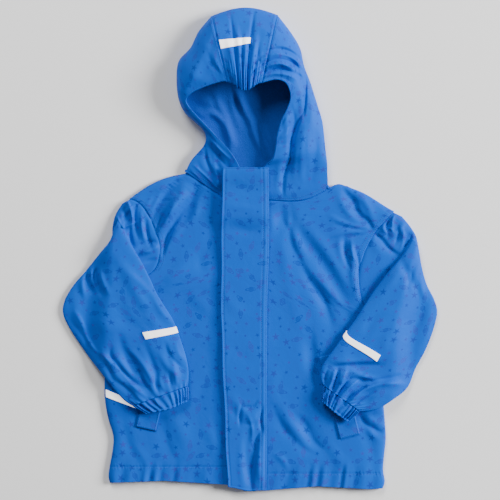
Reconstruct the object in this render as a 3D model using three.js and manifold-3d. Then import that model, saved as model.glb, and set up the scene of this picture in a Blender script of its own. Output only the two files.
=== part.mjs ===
// A child's hooded raincoat for about two to three years, laid out flat on its back with both
// sleeves folded in over the front. Millimetres: +X to the wearer's left, +Y to the hood, +Z up.
// The coat rests on the plane z = 0, and the origin is the middle of the space that it takes up.
import * as THREE from "three";
import { mergeVertices } from "three/addons/utils/BufferGeometryUtils.js";
import Module from "manifold-3d";

// Driving sizes.
const SHELL = 2.2; // coated cloth with its fleece backing
const FLEECE = 2.0; // lining where it shows, in the hood
const TAPE = 1; // reflective tape
const WELT = 1.8; // pocket welts, folded cloth laid on the fronts
const SEAM_GAP = 0.3; // between two pieces that meet at a seam
const LAY_GAP = 1.8; // air between a layer and what it lies on
const BODY_LOFT = 8.3; // height of the front over the table
const SEAM_HEIGHT = 4.2; // height of the side and shoulder seams over the table
const EDGE_ROUND = 15; // width over which the front rounds down to its side seams
const UNDER_ROUND = 9; // the same on the back, which curls up to them
const CUFF_DEPTH = 23; // elastic casing at the wrist
const CUFF_GATHERS = 24; // gathers round each cuff
const BRIM_GATHERS = 6; // gathers along the elastic of the brim

const SHELL_BLUE = 0x1f6fc4;
const LINING_BLUE = 0x1a4fa8;
const TAPE_WHITE = 0xf4f4f6;

// Small helpers.
const lerp = (a, b, t) => a + (b - a) * t;
const clamp = (x, low, high) => Math.min(Math.max(x, low), high);
const quarter = (distance, width) => Math.sqrt(1 - (1 - clamp(distance / width, 0, 1)) ** 2);
const smooth = (low, high, x) => {
  const t = clamp((x - low) / (high - low), 0, 1);
  return t * t * (3 - 2 * t);
};

// A table with named columns, a row for each section or fold.
const table = (names, rows) =>
  rows.map((row) => Object.fromEntries(names.split(" ").map((name, k) => [name, row[k]])));

// Reads a table along a smooth curve, from 0 at its first row to 1 at its last.
function read(rows, t) {
  const last = rows.length - 1;
  const place = clamp(t, 0, 1) * last;
  const k = Math.min(Math.floor(place), last - 1);
  const f = place - k;
  const row = (n) => rows[clamp(n, 0, last)];
  const made = {};
  for (const name of Object.keys(rows[0])) {
    const [a, b, c, d] = [row(k - 1)[name], row(k)[name], row(k + 1)[name], row(k + 2)[name]];
    made[name] = b + 0.5 * f * (c - a + f * (2 * a - 5 * b + 4 * c - d + f * (3 * (b - c) + d - a)));
  }
  return made;
}

// Reads one column against another that rises down the table.
function graph(rows, from, to, x) {
  const above = rows.findIndex((row) => row[from] > x);
  const k = above < 0 ? rows.length - 1 : Math.max(above, 1);
  const [a, b] = [rows[k - 1], rows[k]];
  const t = clamp((x - a[from]) / (b[from] - a[from]), 0, 1);
  return lerp(a[to], b[to], t);
}

// Height that a list of folds adds at a point. Each is a soft ridge, or a trough where rise is
// negative, from one end to the other, bowed sideways, dying out at both ends.
function foldHeight(folds, x, y) {
  let height = 0;
  for (const f of folds) {
    const [dx, dy] = [f.x2 - f.x1, f.y2 - f.y1];
    const long = Math.hypot(dx, dy);
    const along = ((x - f.x1) * dx + (y - f.y1) * dy) / long ** 2;
    const t = clamp(along, 0, 1);
    const side = ((x - f.x1) * dy - (y - f.y1) * dx) / long - 4 * f.bow * t * (1 - t);
    const away = (side / f.width) ** 2 + (((along - t) * long) / f.width) ** 2;
    height += f.rise * Math.exp(-away) * (0.3 + 0.7 * Math.sin(Math.PI * t));
  }
  return height;
}

// Body: each row runs from the side seam or armhole (sx, sy) to the centre front or neck edge
// (cx, cy), from the hem up to the shoulder. closed is 1 at the side seam and 0 at the armhole.
const RIGHT_SECTIONS = table("sx sy cx cy closed", [
  [-210, -348, -10.3, -352, 1],
  [-212, -338, -10.3, -340, 1],
  [-210, -322, -10.3, -322, 1],
  [-206, -300, -10.3, -298, 1],
  [-205, -278, -10.3, -275, 1],
  [-213, -250, -10.3, -248, 1],
  [-218, -218, -10.3, -216, 1],
  [-217, -180, -10.3, -180, 1],
  [-213, -130, -10.3, -135, 1],
  [-208, -90, -10.3, -95, 1],
  [-203, -62, -10.3, -66, 0.8],
  [-172, -50, -10.3, -42, 0.1],
  [-142, -28, -10.3, -18, 0],
  [-135, 2, -10.8, 12, 0],
  [-142, 30, -11.4, 31, 0],
  [-154, 56, -15.5, 57.4, 0],
  [-167, 71, -53, 85.8, 0],
  [-181, 76.5, -95, 114.6, 0],
]);
const LEFT_SECTIONS = table("sx sy cx cy closed", [
  [199, -357, -9.7, -361, 1],
  [202, -346, -9.7, -348, 1],
  [199.5, -330, -9.7, -330, 1],
  [201, -308, -9.7, -306, 1],
  [203.5, -282, -9.7, -282, 1],
  [202, -255, -9.7, -255, 1],
  [200, -222, -9.7, -222, 1],
  [204, -185, -9.7, -185, 1],
  [209, -148, -9.7, -146, 1],
  [213, -122, -9.7, -112, 1],
  [213, -104, -9.7, -84, 0.8],
  [190, -96, -9.7, -58, 0.1],
  [170, -80, -9.7, -32, 0],
  [163, -42, -9.2, -4, 0],
  [170, -8, -8, 38, 0],
  [186, 24, 12, 71.3, 0],
  [203, 44, 74, 71.9, 0],
  [216, 58, 118, 90.2, 0],
]);
const UNDERARM = 10 / 17; // where the side seam ends, as a share of the sections
const SHOULDER = { right: { bow: 8, skew: 1 }, left: { bow: 13.5, skew: 1.3 } }; // seam's rise, and where
const HEM_WAVE = table("x rise", [
  [-214, -1],
  [-128, 4],
  [-34, 0],
  [22, 0],
  [100, 5],
  [180, -1],
  [204, 0],
]);

// How far the back's upper edge rises over a straight line between the shoulder points.
const BACK_EDGE = table("x rise", [
  [-181, 0],
  [-150, 18],
  [-129, 29],
  [-97, 37],
  [-77, 43],
  [10, 36],
  [80, 11],
  [115, 17],
  [126, 33],
  [142, 36],
  [150, 33],
  [181, 17],
  [216, 0],
]);

// The largest folds of the fronts, from the neck and shoulders towards the underarms and hem.
const BODY_FOLDS = table("x1 y1 x2 y2 bow width rise", [
  [-92, 88, -148, 12, -8, 8, 2.5],
  [-78, 84, -134, 18, -8, 8, -2.5],
  [50, 52, 150, -95, -10, 11, -3.2],
  [66, 48, 158, -86, -10, 10, 2.5],
  [76, -10, 126, -130, -6, 11, -1.6],
  [154, 12, 162, -76, 4, 6, 2.5],
  [-66, -30, -140, -72, 6, 12, 2],
  [-60, -60, -130, -110, 4, 12, -2],
  [84, -126, 96, -200, 0, 12, -2.6],
  [78, -250, 106, -300, 4, 13, -2.4],
  [-126, -240, -96, -300, -6, 13, 2],
  [-24, -222, -18, -262, -8, 8, 1.8],
  [2, -262, 0, -352, 8, 9, -2.6],
]);

const crown = (x, y) => BODY_LOFT + foldHeight(BODY_FOLDS, x, y);

// Pocket welts, slanted on the fronts and mostly under the sleeves. (x, y) is the middle of a welt
// and lean how far its top stands to the side per millimetre of height.
const POCKETS = {
  right: { x: -142, y: -206, lean: 0.225 },
  left: { x: 133.5, y: -218, lean: -0.265 },
};
const WELT_WIDE = 31;
const WELT_LONG = 127;
function weltFrame({ x, y, lean }) {
  const up = new THREE.Vector2(lean, 1).normalize();
  const across = new THREE.Vector2(up.y, -up.x);
  return { at: (s, t) => new THREE.Vector2(x, y).addScaledVector(across, s).addScaledVector(up, t), up, across };
}
// How much a welt raises what lies over it, near it as well, so that cloth comes up to it softly.
function weltRise(x, y) {
  let rise = 0;
  for (const pocket of Object.values(POCKETS)) {
    const { up, across } = weltFrame(pocket);
    const place = new THREE.Vector2(x - pocket.x, y - pocket.y);
    const past = Math.max(Math.abs(place.dot(across)) - WELT_WIDE / 2, Math.abs(place.dot(up)) - WELT_LONG / 2);
    rise = Math.max(rise, (WELT + SEAM_GAP) * (1 - smooth(3, 26, past)));
  }
  return rise;
}

// The table's shape under a sleeve: the body's front, sloping to the table past its edges.
const BODY_EDGES = table("y left right", [
  [-360, -214, 204],
  [-104, -214, 216],
  [-50, -206, 232],
  [10, -206, 248],
  [90, -200, 250],
]);
const SLOPE = 34; // a sleeve comes down to the table over this distance
function support(x, y) {
  const past = Math.max(graph(BODY_EDGES, "y", "left", y) - x, x - graph(BODY_EDGES, "y", "right", y));
  return (crown(x, y) + weltRise(x, y) + LAY_GAP) * (1 - smooth(-2, SLOPE, past));
}

// One wall of cloth. outer(u, v) gives the outer face; the inner face is moved in along the
// normal and kept between the heights low and high. A ring closes on itself round v. side turns
// the normal where the grid is mirrored.
function wall(rows, columns, outer, options = {}) {
  const { thick = SHELL, ring = false, side = 1, low = -Infinity, high = Infinity } = options;
  const across = ring ? columns : columns + 1;
  const point = (i, j) => outer(i / rows, (ring ? (j + columns) % columns : j) / columns);
  const faces = [[], []];
  for (let i = 0; i <= rows; i++)
    for (let j = 0; j < across; j++) {
      const here = point(i, j);
      const along = point(Math.min(i + 1, rows), j).sub(point(Math.max(i - 1, 0), j));
      const over = ring
        ? point(i, j + 1).sub(point(i, j - 1))
        : point(i, Math.min(j + 1, columns)).sub(point(i, Math.max(j - 1, 0)));
      const normal = over.cross(along).normalize().multiplyScalar(side);
      faces[0].push(here);
      const inner = here.clone().addScaledVector(normal, -thick);
      inner.z = clamp(inner.z, low, high);
      faces[1].push(inner);
    }
  const count = faces[0].length;
  const at = (layer, i, j) => layer * count + i * across + (ring ? j % columns : j);
  const triangles = [];
  const quad = (a, b, c, d) => triangles.push(a, b, c, a, c, d);
  for (let i = 0; i < rows; i++)
    for (let j = 0; j < columns; j++) {
      quad(at(0, i, j), at(0, i, j + 1), at(0, i + 1, j + 1), at(0, i + 1, j));
      quad(at(1, i, j), at(1, i + 1, j), at(1, i + 1, j + 1), at(1, i, j + 1));
    }
  for (let j = 0; j < columns; j++) {
    quad(at(0, 0, j), at(1, 0, j), at(1, 0, j + 1), at(0, 0, j + 1));
    quad(at(0, rows, j + 1), at(1, rows, j + 1), at(1, rows, j), at(0, rows, j));
  }
  for (let i = 0; i < rows && !ring; i++) {
    quad(at(0, i + 1, 0), at(1, i + 1, 0), at(1, i, 0), at(0, i, 0));
    quad(at(0, i, columns), at(1, i, columns), at(1, i + 1, columns), at(0, i + 1, columns));
  }
  if (side < 0) triangles.reverse();
  const geometry = new THREE.BufferGeometry().setFromPoints(faces.flat());
  geometry.setIndex(triangles);
  return geometry;
}

// A strip laid on a face: from corners given in the face's own u and v, listed round the strip.
function laidOn(face, corners, thick, turn, gap) {
  const [a, b, c, d] = corners.map(([u, v]) => new THREE.Vector2(u, v));
  return (s, t) => {
    const at = a.clone().lerp(b, t).lerp(d.clone().lerp(c, t), s);
    const step = 0.004;
    const du = face(at.x + step, at.y).sub(face(at.x - step, at.y));
    const dv = face(at.x, at.y + step).sub(face(at.x, at.y - step));
    const normal = dv.cross(du).normalize().multiplyScalar(turn);
    return face(at.x, at.y).addScaledVector(normal, gap + thick);
  };
}

const coat = new THREE.Group();
function piece(name, geometry, colour = SHELL_BLUE, roughness = 0.5) {
  geometry.computeVertexNormals();
  const material = new THREE.MeshStandardMaterial({ color: colour, roughness, metalness: 0 });
  const mesh = new THREE.Mesh(geometry, material);
  mesh.name = name;
  coat.add(mesh);
}

// Joining with manifold-3d, for a sleeve whose head and arm are one piece of cloth.
const wasm = await Module();
wasm.setup();
function solid(geometry) {
  const merged = mergeVertices(geometry, 1e-4);
  const vertProperties = new Float32Array(merged.attributes.position.array);
  return new wasm.Manifold(
    new wasm.Mesh({ numProp: 3, vertProperties, triVerts: new Uint32Array(merged.index.array) }),
  );
}
function joined(...geometries) {
  const parts = geometries.map(solid).reduce((a, b) => a.add(b)).decompose();
  const mesh = parts.reduce((a, b) => (b.volume() > a.volume() ? b : a)).getMesh();
  const geometry = new THREE.BufferGeometry();
  geometry.setAttribute("position", new THREE.BufferAttribute(mesh.vertProperties, 3));
  geometry.setIndex(new THREE.BufferAttribute(mesh.triVerts, 1));
  return geometry;
}

// A point of a front in plan, with w from 0 at its side to 1 at the centre front.
function frontPlan(sections, { bow, skew }, u, w) {
  const s = read(sections, u);
  const x = lerp(s.sx, s.cx, w);
  const top = smooth(0.85, 1, u) * bow * Math.sin(Math.PI * clamp(w, 0, 1) ** skew);
  const hem = (1 - smooth(0, 0.1, u)) * graph(HEM_WAVE, "x", "rise", x);
  return { x, y: lerp(s.sy, s.cy, w) + top + hem, closed: s.closed, wide: Math.hypot(s.sx - s.cx, s.sy - s.cy) };
}

// The outer face of a front: high in the middle, rounded down to the side and shoulder seams.
function frontPoint(sections, shoulder, u, w) {
  const p = frontPlan(sections, shoulder, u, w);
  const top = frontPlan(sections, shoulder, 1, w);
  const sideRound = lerp(1, quarter(w * p.wide, EDGE_ROUND), p.closed);
  const topRound = quarter(Math.hypot(top.x - p.x, top.y - p.y), EDGE_ROUND);
  const low = SEAM_HEIGHT + SEAM_GAP / 2;
  return new THREE.Vector3(p.x, p.y, low + (crown(p.x, p.y) - low) * sideRound * topRound);
}

const FRONT_ROWS = 28;
const FRONT_COLUMNS = 10;
const nearSide = (v) => lerp(v * v, v, 0.35); // columns closer together at the rounded side
const rightFront = (u, w) => frontPoint(RIGHT_SECTIONS, SHOULDER.right, u, w);
const leftFront = (u, w) => frontPoint(LEFT_SECTIONS, SHOULDER.left, u, w);
const low = SEAM_HEIGHT + SEAM_GAP / 2;
piece("front_right", wall(FRONT_ROWS, FRONT_COLUMNS, (u, v) => rightFront(u, nearSide(v)), { low }));
piece("front_left", wall(FRONT_ROWS, FRONT_COLUMNS, (u, v) => leftFront(u, nearSide(v)), { low, side: -1 }));

// The back lies flat on the table and curls up to the side and shoulder seams.
function backPoint(u, v) {
  const [l, r] = [read(RIGHT_SECTIONS, u), read(LEFT_SECTIONS, u)];
  const w = 0.5 - 0.5 * Math.cos(Math.PI * lerp(v, 0.5 - 0.5 * Math.cos(Math.PI * v), 0.4));
  const x = lerp(l.sx, r.sx, w);
  const rise = graph(BACK_EDGE, "x", "rise", x);
  const hem = (1 - smooth(0, 0.1, u)) * graph(HEM_WAVE, "x", "rise", x);
  const y = lerp(l.sy, r.sy, w) + smooth(0.8, 1, u) * rise + hem;
  const wide = Math.hypot(l.sx - r.sx, l.sy - r.sy);
  const closed = v < 0.5 ? l.closed : r.closed;
  const side = 1 - quarter(Math.min(w, 1 - w) * wide, UNDER_ROUND);
  const shoulder = (1 - quarter((1 - u) * 600, UNDER_ROUND)) * smooth(100, 118, Math.abs(x - 10));
  const high = SEAM_HEIGHT - SEAM_GAP / 2;
  return new THREE.Vector3(x, y, high * Math.max(side * closed, shoulder));
}
const high = SEAM_HEIGHT - SEAM_GAP / 2;
piece("back", wall(FRONT_ROWS, 12, (u, v) => backPoint(u, v), { high, side: -1 }));

// Storm flap over the front opening: lx and rx are its free edge and its sewn edge.
const FLAP_SECTIONS = table("lx rx y", [
  [-33, 24, -356],
  [-36, 25, -300],
  [-39, 25, -225],
  [-42, 25, -150],
  [-43.5, 25.5, -75],
  [-43, 28, 0],
  [-42, 28, 78],
  [-40, 27, 123],
]);
const FLAP_FOOT = 5; // the sewn corner hangs this much lower than the free one
const FLAP_LIFT = 4.6; // the hood's neck under the flap's top lifts it
function flapPoint(u, v) {
  const s = read(FLAP_SECTIONS, u);
  const x = lerp(s.lx, s.rx, v);
  const y = s.y - FLAP_FOOT * v * (1 - smooth(0, 0.05, u));
  const lift = FLAP_LIFT * smooth(26, 54, y) + 4.4 * smooth(84, 118, y);
  return new THREE.Vector3(x, y, crown(x, y) + LAY_GAP + SHELL + lift);
}
piece("storm_flap", wall(26, 6, flapPoint));

// Hood: each row runs from the face opening's rim (rx, ry) at height rz to the outline (ox, oy)
// at height oz, from the neck up to the seam with the centre panel.
const HOOD_RIGHT = table("rx ry rz ox oy oz", [
  [-11.4, 58, 12.5, -96.5, 116.5, 10],
  [-11.4, 100, 13.5, -88, 134, 11],
  [-16, 124, 18, -70, 155, 12],
  [-31, 149, 23, -66, 167, 12],
  [-50, 170, 24, -70, 179, 12],
  [-65, 186, 26, -82, 191, 12],
  [-81, 203, 29, -98, 206, 12],
  [-96, 221, 32, -107, 226, 13],
  [-87, 234, 36, -110, 252, 13],
  [-68, 243, 40, -107, 282, 13],
  [-50, 249, 43, -89, 303, 13],
  [-39, 251, 45, -77, 327, 13],
  [-34, 250, 46, -58, 350, 13],
]);
const HOOD_LEFT = table("rx ry rz ox oy oz", [
  [-8.6, 74, 12.5, 117, 92, 10],
  [-8.6, 100, 13.5, 116, 114, 11],
  [20, 124, 18, 115.5, 131, 12],
  [33, 135, 26, 113, 152, 12],
  [37, 148, 28, 111, 172, 13],
  [40, 169, 31, 108, 194, 13],
  [46, 192, 34, 102, 214, 13],
  [54, 208, 37, 97, 230, 13],
  [60, 224, 40, 90, 252, 13],
  [59, 238, 42, 81, 276, 13],
  [52, 250, 44, 75, 302, 13],
  [38, 254, 46, 61, 326, 13],
  [18, 249, 47, 41, 352, 13],
]);
const UNDER_HOOD = 24; // how far a side panel turns under before its seam with the centre panel
const TURN = 0.72; // share of a row that lies on top, before it turns under
const NECK_SAG = 12; // how far the neck seam on the wearer's left hangs below a straight line
const HOOD_BODY = table("x1 y1 x2 y2 bow width rise", [
  [50, 292, 80, 232, -9, 6, -6],
  [78, 225, 55, 120, 5, 8, -5],
  [92, 190, 80, 110, 0, 10, 3],
  [26, 284, 66, 266, -4, 5, 3],
  [-70, 300, -100, 240, -4, 9, 3],
  [-60, 150, -40, 105, 0, 6, -3],
]);
const hoodMiddle = { x: -8, y: 215 };

function hoodSide(sections, u, v) {
  const s = read(sections, u);
  if (v <= TURN) {
    const a = Math.sin((Math.PI / 2) * (v / TURN));
    const puff = (1 - a ** 2.4) ** 0.55;
    const sag = sections === HOOD_LEFT ? NECK_SAG * (1 - smooth(0, 0.14, u)) * Math.sin(Math.PI * a ** 1.7) : 0;
    const [x, y] = [lerp(s.rx, s.ox, a), lerp(s.ry, s.oy, a) - sag];
    const folds = foldHeight(HOOD_BODY, x, y) * Math.min(1, 3 * a) * Math.min(1, 3 * (1 - a));
    return new THREE.Vector3(x, y, s.oz + (s.rz - s.oz) * puff + folds);
  }
  const turn = (v - TURN) / (1 - TURN);
  const inwards = new THREE.Vector2(hoodMiddle.x - s.ox, hoodMiddle.y - s.oy);
  inwards.x *= 1 - 0.6 * smooth(0.75, 1, u);
  inwards.y *= lerp(0.12, 1, smooth(0, 0.3, u));
  inwards.normalize();
  const under = UNDER_HOOD * (1 - Math.cos((Math.PI / 2) * turn));
  const drop = 1 - Math.sin((Math.PI / 2) * Math.min(1, 1.6 * turn));
  return new THREE.Vector3(s.ox + inwards.x * under, s.oy + inwards.y * under, s.oz * drop);
}
const HOOD_ROWS = 22;
const TO_SEAM = 0.99; // the side panels end just short of the centre panel
piece("hood_right", wall(HOOD_ROWS, 10, (u, v) => hoodSide(HOOD_RIGHT, u * TO_SEAM, 1 - v)));
piece("hood_left", wall(HOOD_ROWS, 10, (u, v) => hoodSide(HOOD_LEFT, u * TO_SEAM, v)));

// The centre panel runs between the side panels: from the gathered brim up over the crown, and
// under the hood down to the nape. It shares its edges with theirs.
const OVER = 0.42; // share of its length from the brim until it has turned under the crown
const CROWN_BULGE = 12;
const BRIM_SAG = 12;
const BRIM_DEPTH = 0.62; // how far the gathers reach up, as a share of the part on top
function hoodCentre(t, c) {
  const edge = (sections) =>
    t < OVER ? hoodSide(sections, 1, t / OVER) : hoodSide(sections, (1 - t) / (1 - OVER), 1);
  const [l, r] = [edge(HOOD_RIGHT), edge(HOOD_LEFT)];
  const p = l.clone().lerp(r, c);
  const arch = Math.sin(Math.PI * c);
  const top = t < OVER ? t / OVER : 1;
  p.y += arch * CROWN_BULGE * smooth(0.35, 0.72, top) * (1 - smooth(OVER, OVER + 0.1, t));
  p.y -= arch ** 2 * BRIM_SAG * (1 - smooth(0, 0.3, top));
  const near = 1 - smooth(0, BRIM_DEPTH, top);
  const wave = Math.cos(2 * Math.PI * BRIM_GATHERS * c);
  if (t < OVER) p.z += near * (1.8 * wave * Math.min(1, 6 * arch) + 3 * arch);
  return p;
}
const seamInset = (v) => lerp(0.028, 0.972, v);
piece("hood_centre", wall(22, 22, (u, v) => hoodCentre(lerp(0, 1, u), seamInset(v))));

// Lining of the hood: in each row from the right rim out to the right edge of the hood, across
// its floor and back up to the left rim, always inside the shell.
const LINING_GAP = 2;
const LINING_INSET = SHELL + LINING_GAP;
const LINING_FOLDS = table("x1 y1 x2 y2 bow width rise", [
  [-28, 246, 22, 138, 6, 8, 9],
  [-84, 214, -44, 160, -10, 8, 8],
  [-6, 236, -30, 150, 6, 7, 4],
]);
function liningSide(sections, u, a) {
  const s = read(sections, u);
  const out = Math.sin((Math.PI / 2) * a);
  const reach = Math.hypot(s.ox - s.rx, s.oy - s.ry);
  const share = 1 - (LINING_INSET + 5) / reach;
  const puff = (1 - (out * share) ** 2.4) ** 0.55;
  const [x, y] = [lerp(s.rx, s.ox, out * share), lerp(s.ry, s.oy, out * share)];
  const folds = foldHeight(HOOD_BODY, x, y) * Math.min(1, 3 * out * share) * Math.min(1, 3 * (1 - out * share));
  const high = s.oz + (s.rz - s.oz) * puff + Math.min(folds, 0) - LINING_INSET - 0.6;
  const mid = s.oz * 0.64;
  return new THREE.Vector3(x, y, lerp(high, mid, smooth(0.72, 1, a)));
}
function liningPoint(t, v) {
  const u = lerp(0.03, 0.965, t);
  const bend = 0.3;
  if (v < bend) return liningSide(HOOD_RIGHT, u, v / bend);
  if (v > 1 - bend) return liningSide(HOOD_LEFT, u, (1 - v) / bend);
  const [l, r] = [liningSide(HOOD_RIGHT, u, 1), liningSide(HOOD_LEFT, u, 1)];
  const c = (v - bend) / (1 - 2 * bend);
  const p = l.clone().lerp(r, c);
  const floor = SHELL + LINING_GAP + FLEECE;
  const edge = quarter(Math.min(c, 1 - c) * l.distanceTo(r), 9);
  p.z = lerp(p.z, floor, edge) + foldHeight(LINING_FOLDS, p.x, p.y) * edge;
  return p;
}
piece(
  "hood_lining",
  wall(16, 20, (u, v) => liningPoint(u, v), { thick: FLEECE, side: -1 }),
  LINING_BLUE,
  0.95,
);

// Sleeves: each row goes from the outer outline (ox, oy) to the inner edge (ix, iy) of the arm,
// from the shoulder to the cuff. high is the arm's thickness there, and sunk how far the row
// lies under the sleeve head, out of which the arm grows.
const RIGHT_ARM = table("ox oy ix iy high sunk", [
  [-203, 34, -197, 46, 7, 6],
  [-210, 14, -189, 30, 8.2, 3],
  [-226, -6, -176, 6, 8.6, 0],
  [-245, -30, -161, -20, 8.6, 0],
  [-264, -52, -149, -44, 8.6, 0],
  [-277, -74, -140, -64, 8.6, 0],
  [-280.5, -94, -128, -84, 8.6, 0],
  [-271, -116, -116, -103, 8.6, 0],
  [-257, -138, -108, -122, 8.6, 0],
  [-240, -162, -101, -142, 8.6, 0],
  [-221, -186, -95, -162, 8.6, 0],
  [-203, -209, -92, -180, 8.6, 0],
  [-188, -225, -92, -193, 8.6, 0],
  [-176, -233, -93, -203, 8.6, 0],
]);
const LEFT_ARM = table("ox oy ix iy high sunk", [
  [251, 12, 243, 17, 7, 6],
  [254, -6, 228, -8, 8.2, 3],
  [258, -28, 207, -33, 8.6, 0],
  [265, -52, 187, -59, 8.6, 0],
  [276, -74, 169, -86, 8.6, 0],
  [280.5, -94, 156, -106, 8.6, 0],
  [274, -122, 142, -125, 8.6, 0],
  [263, -150, 130, -142, 8.6, 0],
  [248, -178, 119, -157, 8.6, 0],
  [236, -206, 109, -172, 8.6, 0],
  [214, -224, 105, -186, 8.6, 0],
  [190, -238, 107, -197, 8.6, 0],
  [164, -241, 111, -203, 8.6, 0],
]);
const ARM_FOLDS = table("x1 y1 x2 y2 bow width rise", [
  [-150, -220, -196, -128, -6, 6, -4],
  [-130, -210, -158, -140, 0, 5, -3],
  [-108, -196, -120, -146, 0, 5, 3],
  [-262, -70, -210, -196, 14, 8, 3],
  [-222, -18, -236, -62, 4, 5, -3],
  [-200, -10, -130, -130, 0, 9, 3],
  [128, -212, 138, -178, 0, 5, 4],
  [140, -220, 170, -186, 3, 5, -4],
  [156, -222, 214, -196, 6, 6, 4],
  [112, -170, 196, -168, 8, 7, -3],
  [250, -60, 222, -10, 0, 6, -3],
]);

// A ring round an arm: v = 0 at the outline, over the top to the inner edge and back below.
function armPoint(sections, u, v, move = [0, 0]) {
  const s = read(sections, u);
  const angle = 2 * Math.PI * v;
  const c = -Math.cos(angle) * (1 - 0.08 * Math.sin(angle) ** 2);
  const a = 0.5 + 0.5 * c;
  const [x, y] = [lerp(s.ox, s.ix, a) + move[0], lerp(s.oy, s.iy, a) + move[1]];
  const open = Math.sqrt(1 - Math.abs(c) ** 3.2);
  const middle = support(x, y) + s.high / 2 - s.sunk;
  const over = Math.sin(angle) > 0;
  const folds = over ? foldHeight(ARM_FOLDS, x, y) * open * 0.7 : 0;
  return new THREE.Vector3(x, y, middle + (over ? 0.5 : -0.5) * s.high * open + folds);
}

// The head of a sleeve, from the armhole seam of the front out to the shoulder's outline, round
// it and back below to the armhole seam of the back.
const HEAD_RIGHT = table("ox oy", [
  [-191, 70],
  [-201, 54],
  [-206, 35],
  [-206, 14],
  [-203, -12],
  [-201, -36],
  [-205, -56],
]);
const HEAD_LEFT = table("ox oy", [
  [228, 50],
  [241, 34],
  [250, 17],
  [250, -6],
  [244, -34],
  [236, -64],
  [220, -92],
]);
const HEAD_FOLDS = table("x1 y1 x2 y2 bow width rise", [
  [-196, 48, -176, 66, 0, 4, 3],
  [-160, -6, -134, 8, 0, 4, 3],
  [214, 18, 232, 40, 0, 4, 3],
  [226, 6, 240, 26, 0, 4, -3],
]);
function headPoint(sections, outline, u, v) {
  const seam = read(sections, lerp(0.99, UNDERARM + 0.07, u));
  const s = read(outline, u);
  const gap = SEAM_GAP * 7;
  const reach = Math.hypot(s.ox - seam.sx, s.oy - seam.sy);
  const half = v < 0.5;
  const away = half ? 2 * v : 2 - 2 * v;
  const w = lerp(gap / reach, 1, Math.sin((Math.PI / 2) * away));
  const [x, y] = [lerp(seam.sx, s.ox, w), lerp(seam.sy, s.oy, w)];
  const fromOutline = (1 - w) * reach;
  const round = quarter(fromOutline, Math.min(EDGE_ROUND, reach * 0.8));
  const top = crown(x, y) + foldHeight(HEAD_FOLDS, x, y) * round;
  const start = quarter(u * 110 + 2, EDGE_ROUND);
  const high = SEAM_HEIGHT + (top - SEAM_HEIGHT) * round * start;
  return new THREE.Vector3(x, y, half ? high : SEAM_HEIGHT * (1 - quarter(fromOutline, UNDER_ROUND)));
}

function sleeve(name, sections, outline, arm, side) {
  const head = wall(14, 12, (u, v) => headPoint(sections, outline, u, v), { side });
  const tube = wall(22, 18, (u, v) => armPoint(arm, u, v), { ring: true, side: -side });
  piece(name, joined(head, tube));
}
sleeve("sleeve_right", RIGHT_SECTIONS, HEAD_RIGHT, RIGHT_ARM, 1);
sleeve("sleeve_left", LEFT_SECTIONS, HEAD_LEFT, LEFT_ARM, -1);

// Cuffs: the arm's last ring again, drawn up by the elastic into gathers, one casing deep. Each
// casing fans: its direction turns from the arm's outline, in the first row, to its inner edge.
const RIGHT_RUN = table("x y", [
  [0.86, -0.51],
  [0, -1],
]);
const LEFT_RUN = table("x y", [
  [-0.71, -0.7],
  [-0.16, -0.99],
]);
function cuffPoint(arm, fan, u, v) {
  const angle = 2 * Math.PI * v;
  const on = read(fan, 0.5 - 0.5 * Math.cos(angle) * (1 - 0.08 * Math.sin(angle) ** 2));
  const run = (SEAM_GAP * 2 + CUFF_DEPTH * u) / Math.hypot(on.x, on.y);
  const p = armPoint(arm, 1, v, [on.x * run, on.y * run]);
  const wave = Math.cos(2 * Math.PI * CUFF_GATHERS * v);
  const over = Math.sin(2 * Math.PI * v);
  p.z += over > 0 ? 0.9 * wave * Math.min(1, 4 * over) : 0;
  return p;
}
for (const [name, arm, fan, side] of [
  ["cuff_right", RIGHT_ARM, RIGHT_RUN, -1],
  ["cuff_left", LEFT_ARM, LEFT_RUN, 1],
])
  piece(name, wall(2, 3 * CUFF_GATHERS, (u, v) => cuffPoint(arm, fan, u, v), { ring: true, side }));

// Pocket welts, moved out from the fronts.
for (const [name, pocket] of Object.entries(POCKETS)) {
  const { at } = weltFrame(pocket);
  const face = (u, v) => {
    const { x, y } = at((v - 0.5) * WELT_WIDE, (0.5 - u) * WELT_LONG);
    return new THREE.Vector3(x, y, crown(x, y) + SEAM_GAP + WELT);
  };
  piece("pocket_welt_" + name, wall(10, 3, face, { thick: WELT, side: -1 }));
}

// Reflective tapes: across the hood, on both sleeves and at the wearer's right side.
const hoodTop = (u, v) => hoodCentre(u, v);
const rightArm = (u, v) => armPoint(RIGHT_ARM, u, v);
const leftArm = (u, v) => armPoint(LEFT_ARM, u, v);
const TAPES = {
  hood: [hoodTop, [[0.131, 0.035], [0.139, 0.607], [0.118, 0.6], [0.1, 0.035]], 5, 1, 0.5],
  sleeve_right: [rightArm, [[0.6, 0.305], [0.585, 0.485], [0.621, 0.485], [0.638, 0.305]], 7, -1, 0.6],
  sleeve_left: [leftArm, [[0.625, 0.236], [0.482, 0.485], [0.516, 0.485], [0.661, 0.236]], 8, 1, 0.7],
  side: [rightFront, [[0.364, 0.04], [0.337, 0.22], [0.318, 0.22], [0.345, 0.04]], 6, 1, -0.2],
};
for (const [name, [face, corners, columns, turn, gap]] of Object.entries(TAPES)) {
  const laid = laidOn(face, corners, TAPE, turn, gap);
  piece("tape_" + name, wall(2, columns, laid, { thick: TAPE, side: turn }), TAPE_WHITE, 0.4);
}

export default coat;
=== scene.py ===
# %% [markdown]
# # A child's raincoat, laid out flat
# The coat is coated blue cloth with fleece behind it. It lies on its back, both sleeves folded in
# over the front and the hood laid back with its face opening up. Each piece of cloth is one thin
# wall, worked out as a grid of points from short tables of sizes, and the wrinkles are soft ridges
# and troughs placed on those grids. A cloth simulation could drape such a coat too, but it
# would find folds of its own, and here each long fold has its known place.

import math

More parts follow.
